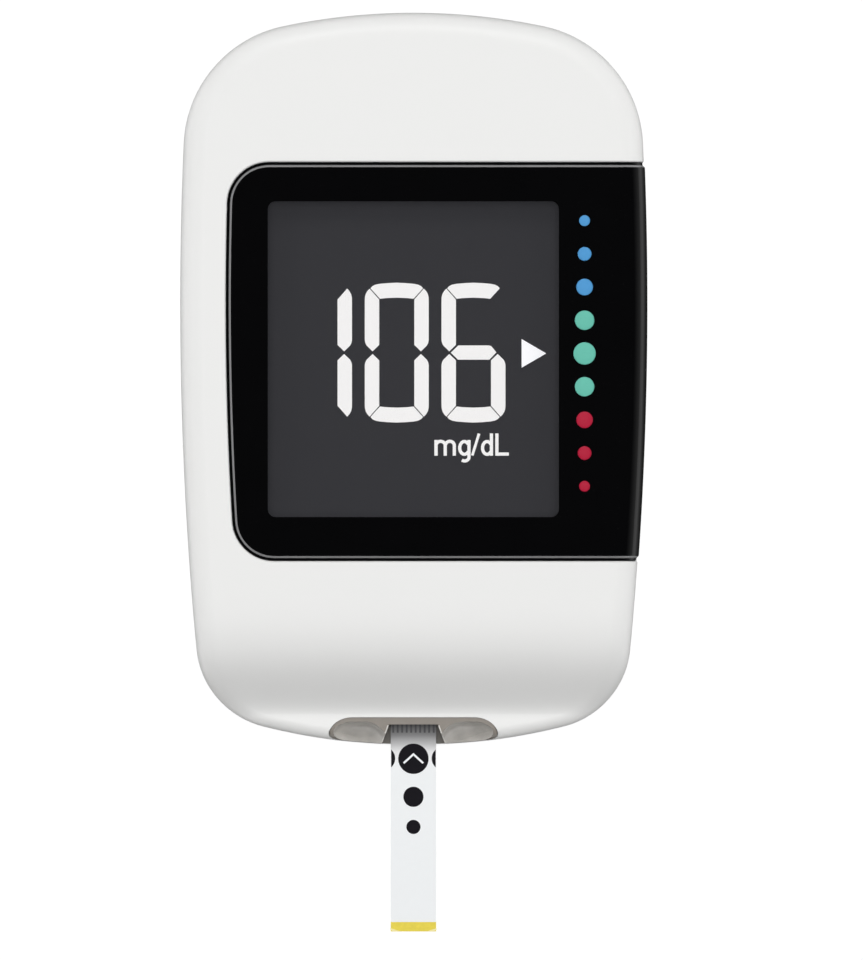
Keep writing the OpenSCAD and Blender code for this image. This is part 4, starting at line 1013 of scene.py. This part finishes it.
def distant_glow(tree):
    """How brightly the floor mirrors in polished faces: dark round the meter, bright far from it."""
    shrink = {0: object_place(tree), 1: (2 / (case_w * MM), 2 / (case_l * MM), 0)}
    place = add_node(tree, "VectorMath", shrink, operation="MULTIPLY").outputs[0]
    distance = add_node(tree, "VectorMath", {0: place}, operation="LENGTH").outputs["Value"]
    span = {"Value": distance, "From Min": 1.35, "From Max": 2.9, "To Min": 0.05, "To Max": 1.0}
    return add_node(tree, "MapRange", span, interpolation_type="SMOOTHSTEP").outputs["Result"]


def white_floor():
    """A plain floor that glows only towards the camera and in what polished faces mirror."""
    material, tree = new_material("white_floor")
    tree.nodes.clear()
    rays = add_node(tree, "LightPath").outputs
    shader = add_node(tree, "BsdfDiffuse", {"Color": (0.75, 0.75, 0.75, 1)}).outputs[0]
    for ray, share, strength in (("Is Camera Ray", 0.84, 1.12), ("Is Glossy Ray", 1.0, distant_glow(tree))):
        glow = add_node(tree, "Emission", {"Strength": strength}).outputs[0]
        part = add_node(tree, "Math", {0: rays[ray], 1: share}, operation="MULTIPLY").outputs[0]
        shader = add_node(tree, "MixShader", {"Fac": part, 1: shader, 2: glow}).outputs[0]
    add_node(tree, "OutputMaterial", {"Surface": shader})
    return material


floor = mesh("floor", level([(-floor_w2, -floor_w2), (floor_w2, -floor_w2), (floor_w2, floor_w2),
                             (-floor_w2, floor_w2)], floor_z), [(0, 1, 2, 3)])
floor.data.materials[0] = white_floor()

# ---- sky, lamps and camera
SKY, SKY_WHITE = 0.085, 1.05
AIM = (0, 0, 10)
VIEW_MIDDLE, VIEW_H = (1.91, -10.6, 10), 101.27
LENS, SENSOR = 500, 36

scene = bpy.context.scene
scene.world = bpy.data.worlds.new("studio")
scene.world.use_nodes = True
sky = scene.world.node_tree
sky_rays = add_node(sky, "LightPath").outputs


def pick(ray, off, on):
    """on where the ray is of that kind, else off; each is a number or a node's output."""
    return add_node(sky, "Mix", {"Factor": sky_rays[ray], "A": off, "B": on}).outputs["Result"]


def mirrored_sky():
    """What polished faces mirror of the sky: dim overhead, brighter towards the horizon."""
    direction = add_node(sky, "TexCoord").outputs["Generated"]
    height = add_node(sky, "SeparateXYZ", {0: direction}).outputs["Z"]
    span = {"Value": height, "From Min": 0.0, "From Max": 0.6, "To Min": 0.5, "To Max": 0.04}
    return add_node(sky, "MapRange", span).outputs["Result"]


def lamp(name, place, size, power, mirrored=True):
    light = bpy.data.lights.new(name, "AREA")
    light.shape, light.energy = "RECTANGLE", power
    light.size, light.size_y = size[0] * MM, size[1] * MM
    holder = bpy.data.objects.new(name, light)
    scene.collection.objects.link(holder)
    holder.location = Vector(place) * MM
    holder.rotation_mode = "QUATERNION"
    holder.rotation_quaternion = (Vector(AIM) - Vector(place)).to_track_quat("-Z", "Y")
    holder.visible_glossy = mirrored


strength = pick("Is Camera Ray", pick("Is Glossy Ray", SKY, mirrored_sky()), SKY_WHITE)
set_inputs(sky, sky.nodes["Background"], {"Color": (1, 1, 1, 1), "Strength": strength})
lamp("top_box", (0, 800, 900), (900, 400), 3.4)
lamp("left_box", (-640, 60, 300), (200, 700), 1.55, mirrored=False)
lamp("right_box", (640, 60, 300), (200, 700), 1.65, mirrored=False)
lamp("overhead", (0, 40, 1700), (1000, 1000), 16.2, mirrored=False)

camera = bpy.data.objects.new("camera", bpy.data.cameras.new("camera"))
scene.collection.objects.link(camera)
scene.camera = camera
camera.data.lens, camera.data.sensor_width = LENS, SENSOR
camera.location = (Vector(VIEW_MIDDLE) + Vector((0, 0, VIEW_H * LENS / SENSOR))) * MM
camera.data.clip_start, camera.data.clip_end = 0.05, 20
scene.view_settings.view_transform = "Standard"

for tag_material in TAG.values():
    bpy.data.materials.remove(tag_material)
